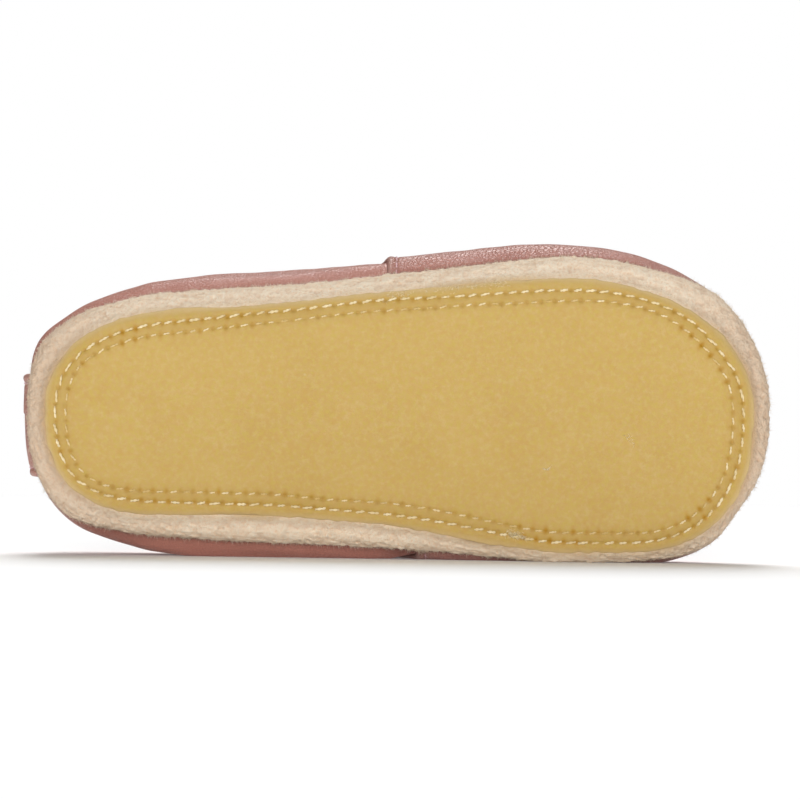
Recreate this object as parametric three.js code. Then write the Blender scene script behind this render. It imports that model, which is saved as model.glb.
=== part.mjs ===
// A child's right house slipper: soft leather upper, suede sole and a stitched-on natural rubber outsole.
// All sizes are in millimetres. The slipper is drawn as it would stand: x runs from heel to toe,
// y to its inner side (the big toe's side) and z up from the tread. The last lines lay it on its
// inner side, with the sole edge and the upper both on the floor, and +Z up.

import * as THREE from 'three';

// Outsole: one flat piece of natural rubber, a little lifted at the toe and rolled up at its edge.
const OUTSOLE_LENGTH = 158.9;
const BALL_WIDTH = 61.3;
const HEEL_WIDTH = 45.7;
const BALL_SHIFT = 0.75;
const OUTSOLE_THICKNESS = 2;
const OUTSOLE_BEVEL = 0.6;
const HEEL_ROUND = { outer: 31, inner: 25.4 };
const TOE_ROUND = { outer: 46, inner: 30.5 };
const HEEL_POWER = { outer: 2.2, inner: 2.4 };
const TOE_POWER = { outer: 2.15, inner: 2.5 };
const TOE_SPRING = 3;
const SPRING_LENGTH = 48;
const EDGE_ROLL = 1;
const ROLL_REACH = 6;

// Suede sole: it runs past the outsole all round and turns up to a raw edge.
const SUEDE_THICKNESS = 1.8;
const SUEDE_MARGIN = 4;
const RIM_TOP = 9;

// Upper: soft lined leather. Swell is how far it bulges past the suede edge.
const WALL = 1.5;
const SWELL = 4;
const COLLAR_BACK = 53;
const COLLAR_SIDE = 44;
const THROAT = 49;
const COLLAR_START = 2;
const COLLAR_LENGTH = 91;
const COLLAR_WIDTH = 52;
const COLLAR_POWER = 2.2;
const TUCK_DEPTH = 1.6;
const TUCK_INSET = 0.25;

// Overlays on the upper: the vamp over the forefoot and a patch up the back of the heel.
const VAMP_THICKNESS = 1;
const PATCH_THICKNESS = 1;
const PATCH_WIDTH = 23.2;
const PATCH_SHIFT = 2.9;

const INSOLE_THICKNESS = 2;

// Clearance between pieces that touch in the real slipper.
const GAP = 0.3;

// The slipper's rest: how far its sole leans over and its heel dips, in degrees, from standing on edge.
const LEAN = 2;
const HEEL_DIP = 0.8;

// Mesh density: steps round a whole outline, and across the overlays.
const TURNS = 72;
const VAMP_STEPS = 40;
const PATCH_STEPS = 10;
const TINY = 0.002;

// Half width from heel (0) to ball (1), along the outsole's length.
const WAIST = [
  { along: 0.0, outer: 0.0, inner: 0.0 },
  { along: 0.16, outer: -0.03, inner: 0.02 },
  { along: 0.25, outer: 0.08, inner: 0.03 },
  { along: 0.35, outer: 0.24, inner: 0.07 },
  { along: 0.45, outer: 0.49, inner: 0.22 },
  { along: 0.55, outer: 0.67, inner: 0.49 },
  { along: 0.65, outer: 0.91, inner: 0.83 },
  { along: 0.72, outer: 1.0, inner: 1.0 },
  { along: 1.0, outer: 1.0, inner: 1.0 },
];

// Suede left showing round the outsole, as shares of SUEDE_MARGIN.
const MARGINS = [
  { along: 0.0, outer: 1.18, inner: 1.18 },
  { along: 0.02, outer: 1.5, inner: 1.33 },
  { along: 0.05, outer: 1.38, inner: 1.48 },
  { along: 0.1, outer: 1.08, inner: 1.15 },
  { along: 0.15, outer: 1.06, inner: 1.22 },
  { along: 0.3, outer: 1.06, inner: 1.52 },
  { along: 0.45, outer: 0.98, inner: 1.4 },
  { along: 0.55, outer: 1.08, inner: 1.08 },
  { along: 0.65, outer: 1.12, inner: 0.74 },
  { along: 0.75, outer: 1.29, inner: 0.61 },
  { along: 0.85, outer: 1.36, inner: 0.53 },
  { along: 0.93, outer: 1.68, inner: 0.86 },
  { along: 0.97, outer: 1.38, inner: 0.66 },
  { along: 1.0, outer: 1.1, inner: 1.08 },
];

// The upper's bulge past the suede edge, as shares of SWELL.
const BULGES = [
  { along: 0.0, outer: 0.25, inner: 0.18 },
  { along: 0.015, outer: 0.55, inner: 0.3 },
  { along: 0.05, outer: 0.5, inner: 0.45 },
  { along: 0.1, outer: 0.66, inner: 0.85 },
  { along: 0.15, outer: 0.85, inner: 1.1 },
  { along: 0.3, outer: 0.95, inner: 1.22 },
  { along: 0.45, outer: 0.9, inner: 0.82 },
  { along: 0.52, outer: 0.8, inner: 0.36 },
  { along: 0.6, outer: 0.76, inner: 0.28 },
  { along: 0.7, outer: 0.66, inner: 0.05 },
  { along: 0.85, outer: 0.25, inner: 0.05 },
  { along: 0.93, outer: -0.15, inner: -0.1 },
  { along: 1.0, outer: -0.1, inner: -0.1 },
];

// Suede profile beyond the outsole's edge: shares of the margin and of the rim's rise.
const RIM_PROFILE = [
  { out: 0.45, up: 0.13 },
  { out: 0.75, up: 0.3 },
  { out: 0.93, up: 0.55 },
  { out: 1.0, up: 0.8 },
  { out: 1.0, up: 1.0 },
];

// The upper from the suede rim (level 0) to the collar (level 1): how much of the bulge it has,
// how far it leans over to the collar's outline, and its rise at the back, the sides and the toe.
const UPPER_LEVELS = [
  { level: 0.0, swell: 0.0, lean: 0.0, back: 0.0, side: 0.0, toe: 0.0 },
  { level: 0.06, swell: 0.35, lean: 0.0, back: 0.04, side: 0.05, toe: 0.035 },
  { level: 0.18, swell: 0.86, lean: 0.0, back: 0.13, side: 0.15, toe: 0.11 },
  { level: 0.32, swell: 1.0, lean: 0.0, back: 0.26, side: 0.3, toe: 0.21 },
  { level: 0.5, swell: 1.0, lean: 0.07, back: 0.55, side: 0.6, toe: 0.4 },
  { level: 0.66, swell: 1.0, lean: 0.2, back: 0.75, side: 0.79, toe: 0.54 },
  { level: 0.82, swell: 1.0, lean: 0.5, back: 0.9, side: 0.915, toe: 0.71 },
  { level: 1.0, swell: 1.0, lean: 1.0, back: 1.0, side: 1.0, toe: 1.0 },
];
const UPPER_ROWS = [0, 0.06, 0.12, 0.18, 0.25, 0.32, 0.41, 0.5, 0.58, 0.66, 0.74, 0.82, 0.88, 0.94, 1];

// How far forward of the heel the vamp's back edge runs on each side, as shares of the outsole's length.
const VAMP_EDGE = [
  { level: 0.0, outer: 0.481, inner: 0.522 },
  { level: 0.32, outer: 0.48, inner: 0.519 },
  { level: 0.7, outer: 0.459, inner: 0.472 },
  { level: 1.0, outer: 0.415, inner: 0.415 },
];
const OVERLAY_START = 0.06;

const leather = new THREE.MeshStandardMaterial({ color: 0xb98174, roughness: 0.5, metalness: 0 });
const vampLeather = new THREE.MeshStandardMaterial({ color: 0xbd8578, roughness: 0.48, metalness: 0 });
const patchLeather = new THREE.MeshStandardMaterial({ color: 0xb07a6e, roughness: 0.5, metalness: 0 });
const suede = new THREE.MeshStandardMaterial({ color: 0xe2cdb6, roughness: 0.95, metalness: 0 });
const rubber = new THREE.MeshStandardMaterial({ color: 0xd2b069, roughness: 0.55, metalness: 0 });
const footbed = new THREE.MeshStandardMaterial({ color: 0xd9c3a5, roughness: 0.85, metalness: 0 });

const { lerp, clamp } = THREE.MathUtils;

// Reads one column of a table at any place, on a smooth curve through its rows.
function smooth(rows, key, column, at) {
  const last = rows.length - 1;
  const slope = (i) => {
    const before = rows[Math.max(i - 1, 0)];
    const after = rows[Math.min(i + 1, last)];
    return (after[column] - before[column]) / (after[key] - before[key]);
  };
  let i = 0;
  while (i < last - 1 && at > rows[i + 1][key]) i += 1;
  const span = rows[i + 1][key] - rows[i][key];
  const t = clamp((at - rows[i][key]) / span, 0, 1);
  const from = rows[i][column];
  const to = rows[i + 1][column];
  const leave = slope(i) * span;
  const arrive = slope(i + 1) * span;
  const bend = 2 * (from - to) + leave + arrive;
  return from + t * (leave + t * (to - from - leave - bend + t * bend));
}

// A turn of 0 is the heel's tip, 0.5 the toe's tip; the outer side comes first and the inner side last.
function sideOf(turn) {
  return turn <= 0.5 ? 'outer' : 'inner';
}

function alongOf(turn) {
  const half = turn <= 0.5 ? 2 * turn : 2 - 2 * turn;
  return (1 - Math.cos(Math.PI * half)) / 2;
}

function turnAt(along, side) {
  const half = Math.acos(1 - 2 * along) / Math.PI;
  return side === 'outer' ? half / 2 : 1 - half / 2;
}

function wrap(turn) {
  return turn - Math.floor(turn);
}

// One for most of the length, falling to nothing over the last stretch as a round end does.
function roundEnd(distance, reach, power) {
  const depth = clamp(1 - distance / reach, 0, 1);
  return (1 - depth ** power) ** (1 / power);
}

function outsolePoint(turn) {
  const at = wrap(turn);
  const side = sideOf(at);
  const along = alongOf(at);
  const x = along * OUTSOLE_LENGTH;
  const sign = side === 'inner' ? 1 : -1;
  const ball = BALL_WIDTH / 2 + sign * BALL_SHIFT;
  const half = lerp(HEEL_WIDTH / 2, ball, smooth(WAIST, 'along', side, along));
  const heel = roundEnd(x, HEEL_ROUND[side], HEEL_POWER[side]);
  const toe = roundEnd(OUTSOLE_LENGTH - x, TOE_ROUND[side], TOE_POWER[side]);
  return new THREE.Vector2(x, sign * half * heel * toe);
}

function outwardAt(turn) {
  const step = outsolePoint(turn + TINY).sub(outsolePoint(turn - TINY)).normalize();
  return new THREE.Vector2(step.y, -step.x);
}

function marginAt(turn) {
  return SUEDE_MARGIN * smooth(MARGINS, 'along', sideOf(turn), alongOf(turn));
}

function bulgeAt(turn) {
  return SWELL * smooth(BULGES, 'along', sideOf(turn), alongOf(turn));
}

// A point of the plan, moved straight out from the outsole's outline.
function planPoint(turn, out) {
  return outsolePoint(turn).addScaledVector(outwardAt(turn), out);
}

// The whole slipper follows this lift of the sole towards the toe.
function springAt(x) {
  const share = clamp((x - OUTSOLE_LENGTH + SPRING_LENGTH) / SPRING_LENGTH, 0, 1);
  return TOE_SPRING * share * share;
}

function lifted(plan, z) {
  return new THREE.Vector3(plan.x, plan.y, z + springAt(plan.x));
}

// Height of the rolled-up edge, at a distance in from the outsole's outline.
function rollAt(inset) {
  return EDGE_ROLL * Math.max(1 - inset / ROLL_REACH, 0) ** 2;
}

// Closed bodies from loops of points. Each loop joins the next, and the ends are closed
// by the cap's two chains, or the last loop joins the first one.
function solid(loops, cap) {
  const size = loops[0].length;
  const vertices = loops.flat();
  const index = [];
  const rounds = cap ? loops.length - 1 : loops.length;
  for (let row = 0; row < rounds; row += 1) {
    const low = row * size;
    const high = ((row + 1) % loops.length) * size;
    for (let i = 0; i < size; i += 1) {
      const next = (i + 1) % size;
      index.push([low + i, low + next, high + next], [low + i, high + next, high + i]);
    }
  }
  if (cap) {
    const end = (loops.length - 1) * size;
    for (let i = 0; i < cap.left.length - 1; i += 1) {
      const [a, b, c, d] = [cap.left[i], cap.left[i + 1], cap.right[i + 1], cap.right[i]];
      const triangles = [[a, b, c], [a, c, d]].filter((t) => new Set(t).size === 3);
      for (const [p, q, r] of triangles) {
        index.push([r, q, p], [end + p, end + q, end + r]);
      }
    }
  }
  const volume = index.reduce((sum, [a, b, c]) => {
    const normal = new THREE.Vector3().crossVectors(vertices[b], vertices[c]);
    return sum + vertices[a].dot(normal);
  }, 0);
  const faces = volume > 0 ? index : index.map(([a, b, c]) => [c, b, a]);
  const geometry = new THREE.BufferGeometry();
  geometry.setAttribute('position', new THREE.Float32BufferAttribute(vertices.flatMap((v) => v.toArray()), 3));
  geometry.setIndex(faces.flat());
  geometry.computeVertexNormals();
  return geometry;
}

// A cap for loops that follow the whole outline: strips run across from outer to inner side.
function outlineCap() {
  const left = Array.from({ length: TURNS / 2 + 1 }, (_, i) => i);
  const right = left.map((i) => (TURNS - i) % TURNS);
  return { left, right };
}

function outlineTurns() {
  return Array.from({ length: TURNS }, (_, i) => i / TURNS);
}

function outsole() {
  const tread = (inset) => rollAt(inset) + OUTSOLE_BEVEL * Math.max(1 - inset / OUTSOLE_THICKNESS, 0);
  const upside = (inset) => rollAt(inset) + OUTSOLE_THICKNESS;
  const rows = [
    { inset: ROLL_REACH, z: tread(ROLL_REACH) },
    { inset: 3, z: tread(3) },
    { inset: 1, z: tread(1) },
    { inset: 0.3, z: tread(0.3) },
    { inset: 0, z: lerp(tread(0), upside(0), 0.4) },
    { inset: 0, z: lerp(tread(0), upside(0), 0.8) },
    { inset: 0.3, z: upside(0.3) },
    { inset: 2, z: upside(2) },
    { inset: ROLL_REACH, z: upside(ROLL_REACH) },
  ];
  const loops = rows.map((row) => outlineTurns().map((turn) => lifted(planPoint(turn, -row.inset), row.z)));
  return solid(loops, outlineCap());
}

// The suede's outer profile at one turn, from the flat middle to the rim's raw edge.
function suedeProfile(turn) {
  const margin = marginAt(turn);
  const base = OUTSOLE_THICKNESS + GAP;
  const foot = base + rollAt(0);
  const flat = [ROLL_REACH, ROLL_REACH / 2, 0].map((inset) => new THREE.Vector2(-inset, base + rollAt(inset)));
  const rim = RIM_PROFILE.map((row) => new THREE.Vector2(row.out * margin, lerp(foot, RIM_TOP, row.up)));
  return [...flat, ...rim];
}

// The same profile moved inwards by the suede's thickness.
function thickened(profile, thickness) {
  return profile.map((point, i) => {
    const before = profile[Math.max(i - 1, 0)];
    const after = profile[Math.min(i + 1, profile.length - 1)];
    const step = after.clone().sub(before).normalize();
    if (i === 0) step.set(1, 0);
    if (i === profile.length - 1) step.set(0, 1);
    return point.clone().addScaledVector(new THREE.Vector2(-step.y, step.x), thickness);
  });
}

function suedeSole() {
  const profiles = outlineTurns().map((turn) => {
    const outside = suedeProfile(turn);
    return [...outside, ...thickened(outside, SUEDE_THICKNESS).reverse()];
  });
  const loops = profiles[0].map((_, row) =>
    outlineTurns().map((turn, i) => lifted(planPoint(turn, profiles[i][row].x), profiles[i][row].y)));
  return solid(loops, outlineCap());
}

// The line that the upper's outer face follows inside the rim.
function seamOut(turn) {
  return marginAt(turn) - SUEDE_THICKNESS - GAP;
}

function insole() {
  const inset = (turn) => WALL + TUCK_INSET + GAP - seamOut(turn);
  const base = OUTSOLE_THICKNESS + SUEDE_THICKNESS + 2 * GAP;
  const rows = [
    { further: ROLL_REACH, z: 0 },
    { further: 0.6, z: 0.3 },
    { further: 0, z: 0.7 },
    { further: 0, z: INSOLE_THICKNESS - 0.5 },
    { further: 0.6, z: INSOLE_THICKNESS },
    { further: ROLL_REACH, z: INSOLE_THICKNESS },
  ];
  const loops = rows.map((row) => outlineTurns().map((turn) => {
    const edge = inset(turn) + row.further;
    return lifted(planPoint(turn, -edge), base + rollAt(edge) + row.z);
  }));
  return solid(loops, outlineCap());
}

function collarPoint(turn) {
  const along = alongOf(turn);
  const sign = sideOf(turn) === 'inner' ? 1 : -1;
  const half = (COLLAR_WIDTH / 2) * (1 - Math.abs(2 * along - 1) ** COLLAR_POWER) ** (1 / COLLAR_POWER);
  return new THREE.Vector2(COLLAR_START + along * COLLAR_LENGTH, sign * half);
}

// A value that is given at the back, the sides and the toe, at any turn.
function roundTheShoe(back, side, toe, turn) {
  const along = alongOf(turn);
  const middle = 2 * side - (back + toe) / 2;
  return back * (1 - along) ** 2 + 2 * middle * along * (1 - along) + toe * along ** 2;
}

// The upper's outer face, before any leather lies on it.
function upperFace(turn, level) {
  const at = wrap(turn);
  const shape = (column) => smooth(UPPER_LEVELS, 'level', column, level);
  const out = lerp(seamOut(at), marginAt(at) + bulgeAt(at), shape('swell'));
  const plan = planPoint(at, out).lerp(collarPoint(at), shape('lean'));
  const top = roundTheShoe(COLLAR_BACK, COLLAR_SIDE, THROAT, at);
  const rise = roundTheShoe(shape('back'), shape('side'), shape('toe'), at);
  return lifted(plan, lerp(RIM_TOP, top, rise));
}

function upperNormal(turn, level) {
  const low = Math.max(level - TINY, 0);
  const high = Math.min(level + TINY, 1);
  const round = upperFace(turn + TINY, level).sub(upperFace(turn - TINY, level));
  const up = upperFace(turn, high).sub(upperFace(turn, low));
  return round.cross(up).normalize();
}

function upperOffset(turn, level, offset) {
  return upperFace(turn, level).addScaledVector(upperNormal(turn, level), offset);
}

// Finds the turn where a measure that grows from low to high passes a value.
function findTurn(low, high, measure, value) {
  let from = low;
  let to = high;
  for (let round = 0; round < 30; round += 1) {
    const middle = (from + to) / 2;
    if (measure(middle) < value) from = middle;
    else to = middle;
  }
  return (from + to) / 2;
}

// The turn of the vamp's back edge on one side, at a level.
function vampTurn(side, level) {
  const tip = side === 'outer' ? 0 : 1;
  const x = OUTSOLE_LENGTH * smooth(VAMP_EDGE, 'level', side, level);
  return findTurn(tip, 0.5, (turn) => upperFace(turn, level).x, x);
}

// What lies over the upper at a turn and level: the vamp, fading out just behind its edge.
const FADE = 0.02;
function coverAt(turn, level) {
  const at = wrap(turn);
  const start = vampTurn('outer', level);
  const end = vampTurn('inner', level);
  const inside = Math.min(at - start, end - at);
  return (GAP + VAMP_THICKNESS) * clamp(1 + inside / FADE, 0, 1);
}

// The floor, in the standing slipper's own axes: it touches the suede's edge at the ball of the foot
// and leans by the rest's two angles, so the leather's bulges lie a little flat on it.
function floorPlane() {
  const dip = THREE.MathUtils.degToRad(HEEL_DIP);
  const lean = THREE.MathUtils.degToRad(LEAN);
  const normal = new THREE.Vector3(-Math.sin(dip), 1, -Math.sin(lean)).normalize();
  const steps = 60;
  const reach = Array.from({ length: steps + 1 }, (_, i) => {
    const turn = lerp(0.5, 1, i / steps);
    return lifted(planPoint(turn, marginAt(turn)), RIM_TOP).dot(normal);
  });
  return new THREE.Plane(normal, -Math.max(...reach));
}

const floor = floorPlane();

// Keeps a point above the floor by what still lies between it and the floor.
function pressed(point, above) {
  const depth = floor.distanceToPoint(point) + above;
  return depth > 0 ? point.addScaledVector(floor.normal, -depth) : point;
}

function upperPoint(turn, level, offset) {
  return pressed(upperOffset(turn, level, offset), coverAt(turn, level) - offset);
}

function upper() {
  const tuck = (depth) => outlineTurns().map((turn) =>
    lifted(planPoint(turn, seamOut(turn) - TUCK_INSET - depth), RIM_TOP - TUCK_DEPTH));
  const outside = UPPER_ROWS.map((level) => outlineTurns().map((turn) => upperPoint(turn, level, 0)));
  const inside = UPPER_ROWS.map((level) => outlineTurns().map((turn) => upperPoint(turn, level, -WALL)));
  return solid([tuck(0), ...outside, ...inside.reverse(), tuck(WALL)]);
}

// A panel of leather lying on the upper, between two turns that may change with the level.
function overlay(steps, thickness, levels, from, to) {
  const row = (level, offset) => Array.from({ length: steps + 1 }, (_, i) => {
    const turn = lerp(from(level), to(level), i / steps);
    const point = upperOffset(turn, level, offset);
    return pressed(point, GAP + thickness - offset);
  });
  const loops = levels.map((level) => [...row(level, GAP + thickness), ...row(level, GAP).reverse()]);
  const left = Array.from({ length: steps + 1 }, (_, i) => i);
  const right = left.map((i) => 2 * steps + 1 - i);
  return solid(loops, { left, right });
}

function vamp() {
  const levels = UPPER_ROWS.filter((level) => level >= OVERLAY_START);
  return overlay(VAMP_STEPS, VAMP_THICKNESS, levels, (l) => vampTurn('outer', l), (l) => vampTurn('inner', l));
}

// The patch keeps its width from rim to collar, so its turns come from the outline at each level.
function patchTurn(level, y) {
  return findTurn(-0.2, 0.2, (turn) => -upperFace(turn, level).y, -y);
}

function heelPatch() {
  const levels = UPPER_ROWS.filter((level) => level >= OVERLAY_START);
  const half = PATCH_WIDTH / 2;
  const inner = (level) => patchTurn(level, PATCH_SHIFT + half);
  const outer = (level) => patchTurn(level, PATCH_SHIFT - half);
  return overlay(PATCH_STEPS, PATCH_THICKNESS, levels, inner, outer);
}

function piece(name, geometry, material) {
  const mesh = new THREE.Mesh(geometry, material);
  mesh.name = name;
  return mesh;
}

const slipper = new THREE.Group();
slipper.add(piece('outsole', outsole(), rubber));
slipper.add(piece('suede_sole', suedeSole(), suede));
slipper.add(piece('insole', insole(), footbed));
slipper.add(piece('upper', upper(), leather));
slipper.add(piece('vamp', vamp(), vampLeather));
slipper.add(piece('heel_patch', heelPatch(), patchLeather));

// Lay the slipper down: the floor's plane becomes level, with the toe along +X.
const up = floor.normal.clone().negate();
const ahead = new THREE.Vector3(1, 0, 0).addScaledVector(up, -up.x).normalize();
const across = new THREE.Vector3().crossVectors(up, ahead);
const standing = new THREE.Matrix4().makeBasis(ahead, across, up).transpose();
slipper.quaternion.setFromRotationMatrix(standing);

// The origin is on the floor, under the middle of the slipper's box.
slipper.updateMatrixWorld(true);
const box = new THREE.Box3().setFromObject(slipper, true);
const middle = box.getCenter(new THREE.Vector3());
slipper.position.set(-middle.x, -middle.y, -box.min.z);

const part = new THREE.Group();
part.add(slipper);

export default part;
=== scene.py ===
# %% [markdown]
# # A child's leather slipper, lying on its side
#
# The real slipper is sewn from soft rose leather on a suede sole, and a thin sheet of natural
# rubber is stitched under it with two rows of cream thread. It lies on its inner side, so the
# camera looks straight at the sole. Everything is worked out in the slipper's own axes, in
# millimetres: x runs from heel to toe, y to the inner side and z up from the tread. One function
# at the end of this part lays those points down in the CAD frame.

# %% Load the CAD frame
import math

import bpy
import numpy as np
from mathutils import Matrix, Vector


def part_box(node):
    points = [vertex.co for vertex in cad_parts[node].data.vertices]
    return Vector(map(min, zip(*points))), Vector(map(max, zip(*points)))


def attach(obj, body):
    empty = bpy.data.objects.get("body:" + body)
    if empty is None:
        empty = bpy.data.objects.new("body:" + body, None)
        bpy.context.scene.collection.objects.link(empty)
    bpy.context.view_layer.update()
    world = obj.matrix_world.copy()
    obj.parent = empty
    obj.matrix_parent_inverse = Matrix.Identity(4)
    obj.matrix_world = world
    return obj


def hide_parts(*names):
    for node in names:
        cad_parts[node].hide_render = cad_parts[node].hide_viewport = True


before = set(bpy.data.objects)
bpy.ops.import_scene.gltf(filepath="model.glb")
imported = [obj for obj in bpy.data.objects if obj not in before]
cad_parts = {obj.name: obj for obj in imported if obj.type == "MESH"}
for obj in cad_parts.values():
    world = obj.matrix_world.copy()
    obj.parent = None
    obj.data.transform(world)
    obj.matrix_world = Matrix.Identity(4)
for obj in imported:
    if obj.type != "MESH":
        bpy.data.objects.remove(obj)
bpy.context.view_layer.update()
print("CAD nodes:", sorted(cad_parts))

# %% [markdown]
# ## The slipper's sizes
#
# The same named sizes and short tables as the CAD source, so each dressed piece follows its solid.
# A table gives a value at a few places along the sole, for the outer and the inner side, and a
# smooth curve fills in between. Measuring the solids' meshes would also work, but formulas can be
# sampled as finely as stitches and folds need.

# %% Sizes and tables
OUTSOLE_LENGTH = 158.9
BALL_WIDTH, HEEL_WIDTH, BALL_SHIFT = 61.3, 45.7, 0.75
OUTSOLE_THICKNESS = 2.0
HEEL_ROUND = (31.0, 25.4)
TOE_ROUND = (46.0, 30.5)
HEEL_POWER = (2.2, 2.4)
TOE_POWER = (2.15, 2.5)
TOE_SPRING, SPRING_LENGTH = 3.0, 48.0
EDGE_ROLL, ROLL_REACH = 1.0, 6.0
SUEDE_THICKNESS, SUEDE_MARGIN, RIM_TOP = 1.8, 4.0, 9.0
WALL, SWELL = 1.5, 4.0
COLLAR_BACK, COLLAR_SIDE, THROAT = 53.0, 44.0, 49.0
COLLAR_START, COLLAR_LENGTH, COLLAR_WIDTH, COLLAR_POWER = 2.0, 91.0, 52.0, 2.2
OVERLAY = 1.0
PATCH_WIDTH, PATCH_SHIFT = 23.2, 2.9
GAP = 0.3
LEAN, HEEL_DIP = 2.0, 0.8
TINY = 0.002

# Columns: share of the length, outer side, inner side.
WAIST = np.array([
    (0.0, 0.0, 0.0), (0.16, -0.03, 0.02), (0.25, 0.08, 0.03), (0.35, 0.24, 0.07), (0.45, 0.49, 0.22),
    (0.55, 0.67, 0.49), (0.65, 0.91, 0.83), (0.72, 1.0, 1.0), (1.0, 1.0, 1.0)])
MARGINS = np.array([
    (0.0, 1.18, 1.18), (0.02, 1.5, 1.33), (0.05, 1.38, 1.48), (0.1, 1.08, 1.15), (0.15, 1.06, 1.22),
    (0.3, 1.06, 1.52), (0.45, 0.98, 1.4), (0.55, 1.08, 1.08), (0.65, 1.12, 0.74), (0.75, 1.29, 0.61),
    (0.85, 1.36, 0.53), (0.93, 1.68, 0.86), (0.97, 1.38, 0.66), (1.0, 1.1, 1.08)])
BULGES = np.array([
    (0.0, 0.25, 0.18), (0.015, 0.55, 0.3), (0.05, 0.5, 0.45), (0.1, 0.66, 0.85), (0.15, 0.85, 1.1),
    (0.3, 0.95, 1.22), (0.45, 0.9, 0.82), (0.52, 0.8, 0.36), (0.6, 0.76, 0.28), (0.7, 0.66, 0.05),
    (0.85, 0.25, 0.05), (0.93, -0.15, -0.1), (1.0, -0.1, -0.1)])
# Columns: level, outer side, inner side; the vamp's back edge as a share of the length.
VAMP_EDGE = np.array([(0.0, 0.481, 0.522), (0.32, 0.48, 0.519), (0.7, 0.459, 0.472), (1.0, 0.415, 0.415)])
# Columns: share of the margin, share of the rim's rise.
RIM_PROFILE = np.array([(0.45, 0.13), (0.75, 0.3), (0.93, 0.55), (1.0, 0.8), (1.0, 1.0)])
# Columns: level, swell, lean, rise at the back, at the sides and at the toe.
UPPER_LEVELS = np.array([
    (0.0, 0.0, 0.0, 0.0, 0.0, 0.0), (0.06, 0.35, 0.0, 0.04, 0.05, 0.035), (0.18, 0.86, 0.0, 0.13, 0.15, 0.11),
    (0.32, 1.0, 0.0, 0.26, 0.3, 0.21), (0.5, 1.0, 0.07, 0.55, 0.6, 0.4), (0.66, 1.0, 0.2, 0.75, 0.79, 0.54),
    (0.82, 1.0, 0.5, 0.9, 0.915, 0.71), (1.0, 1.0, 1.0, 1.0, 1.0, 1.0)])


def curve(table, column, at):
    """One column of a table read at any place, on a smooth curve through its rows."""
    keys, values = table[:, 0], table[:, column]
    slopes = np.empty_like(values)
    slopes[1:-1] = (values[2:] - values[:-2]) / (keys[2:] - keys[:-2])
    slopes[0] = (values[1] - values[0]) / (keys[1] - keys[0])
    slopes[-1] = (values[-1] - values[-2]) / (keys[-1] - keys[-2])
    at = np.asarray(at, float)
    i = np.clip(np.searchsorted(keys, at, side="right") - 1, 0, len(keys) - 2)
    span = keys[i + 1] - keys[i]
    t = np.clip((at - keys[i]) / span, 0, 1)
    leave, arrive = slopes[i] * span, slopes[i + 1] * span
    climb = values[i + 1] - values[i]
    bend = leave + arrive - 2 * climb
    return values[i] + t * (leave + t * (climb - leave - bend + t * bend))


def mix(a, b, share):
    return a + (b - a) * share


# %% [markdown]
# ## The sole's outline and the upper's form
#
# A turn of 0 is the heel's tip and 0.5 the toe's tip; the outer side comes first. A level of 0 is
# the suede rim and 1 the collar. A modelled last could be sculpted instead, but with turn and
# level every seam, stitch and fold has a plain address on the leather.

# %% Outline and form
def wrapped(turn):
    return turn - np.floor(turn)


def inner_side(turn):
    return wrapped(turn) > 0.5


def along(turn):
    at = wrapped(turn)
    half = np.where(at <= 0.5, 2 * at, 2 - 2 * at)
    return (1 - np.cos(np.pi * half)) / 2


def by_side(table, turn):
    share = along(turn)
    return np.where(inner_side(turn), curve(table, 2, share), curve(table, 1, share))


def round_end(distance, reach, power):
    depth = np.clip(1 - distance / reach, 0, 1)
    return (1 - depth ** power) ** (1 / power)


def outsole_xy(turn):
    inner = inner_side(turn)
    sign = np.where(inner, 1.0, -1.0)
    x = along(turn) * OUTSOLE_LENGTH
    half = mix(HEEL_WIDTH / 2, BALL_WIDTH / 2 + sign * BALL_SHIFT, by_side(WAIST, turn))
    heel = round_end(x, np.where(inner, HEEL_ROUND[1], HEEL_ROUND[0]),
                     np.where(inner, HEEL_POWER[1], HEEL_POWER[0]))
    toe = round_end(OUTSOLE_LENGTH - x, np.where(inner, TOE_ROUND[1], TOE_ROUND[0]),
                    np.where(inner, TOE_POWER[1], TOE_POWER[0]))
    return np.stack([x, sign * half * heel * toe], -1)


def unit(vectors):
    return vectors / np.maximum(np.linalg.norm(vectors, axis=-1, keepdims=True), 1e-9)


def outward(turn):
    step = unit(outsole_xy(turn + TINY) - outsole_xy(turn - TINY))
    return np.stack([step[..., 1], -step[..., 0]], -1)


def margin(turn):
    return SUEDE_MARGIN * by_side(MARGINS, turn)


def plan(turn, out):
    return outsole_xy(turn) + outward(turn) * np.asarray(out)[..., None]


def spring(x):
    share = np.clip((x - OUTSOLE_LENGTH + SPRING_LENGTH) / SPRING_LENGTH, 0, 1)
    return TOE_SPRING * share ** 2


def lifted(xy, z):
    return np.concatenate([xy, (z + spring(xy[..., 0]))[..., None]], -1)


def roll(inset):
    return EDGE_ROLL * np.maximum(1 - inset / ROLL_REACH, 0) ** 2


def seam_out(turn):
    return margin(turn) - SUEDE_THICKNESS - GAP


def collar_xy(turn):
    share = along(turn)
    half = COLLAR_WIDTH / 2 * (1 - np.abs(2 * share - 1) ** COLLAR_POWER) ** (1 / COLLAR_POWER)
    return np.stack([COLLAR_START + share * COLLAR_LENGTH, np.where(inner_side(turn), half, -half)], -1)


def round_the_shoe(back, side, toe, turn):
    share = along(turn)
    middle = 2 * side - (back + toe) / 2
    return back * (1 - share) ** 2 + 2 * middle * share * (1 - share) + toe * share ** 2


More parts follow.
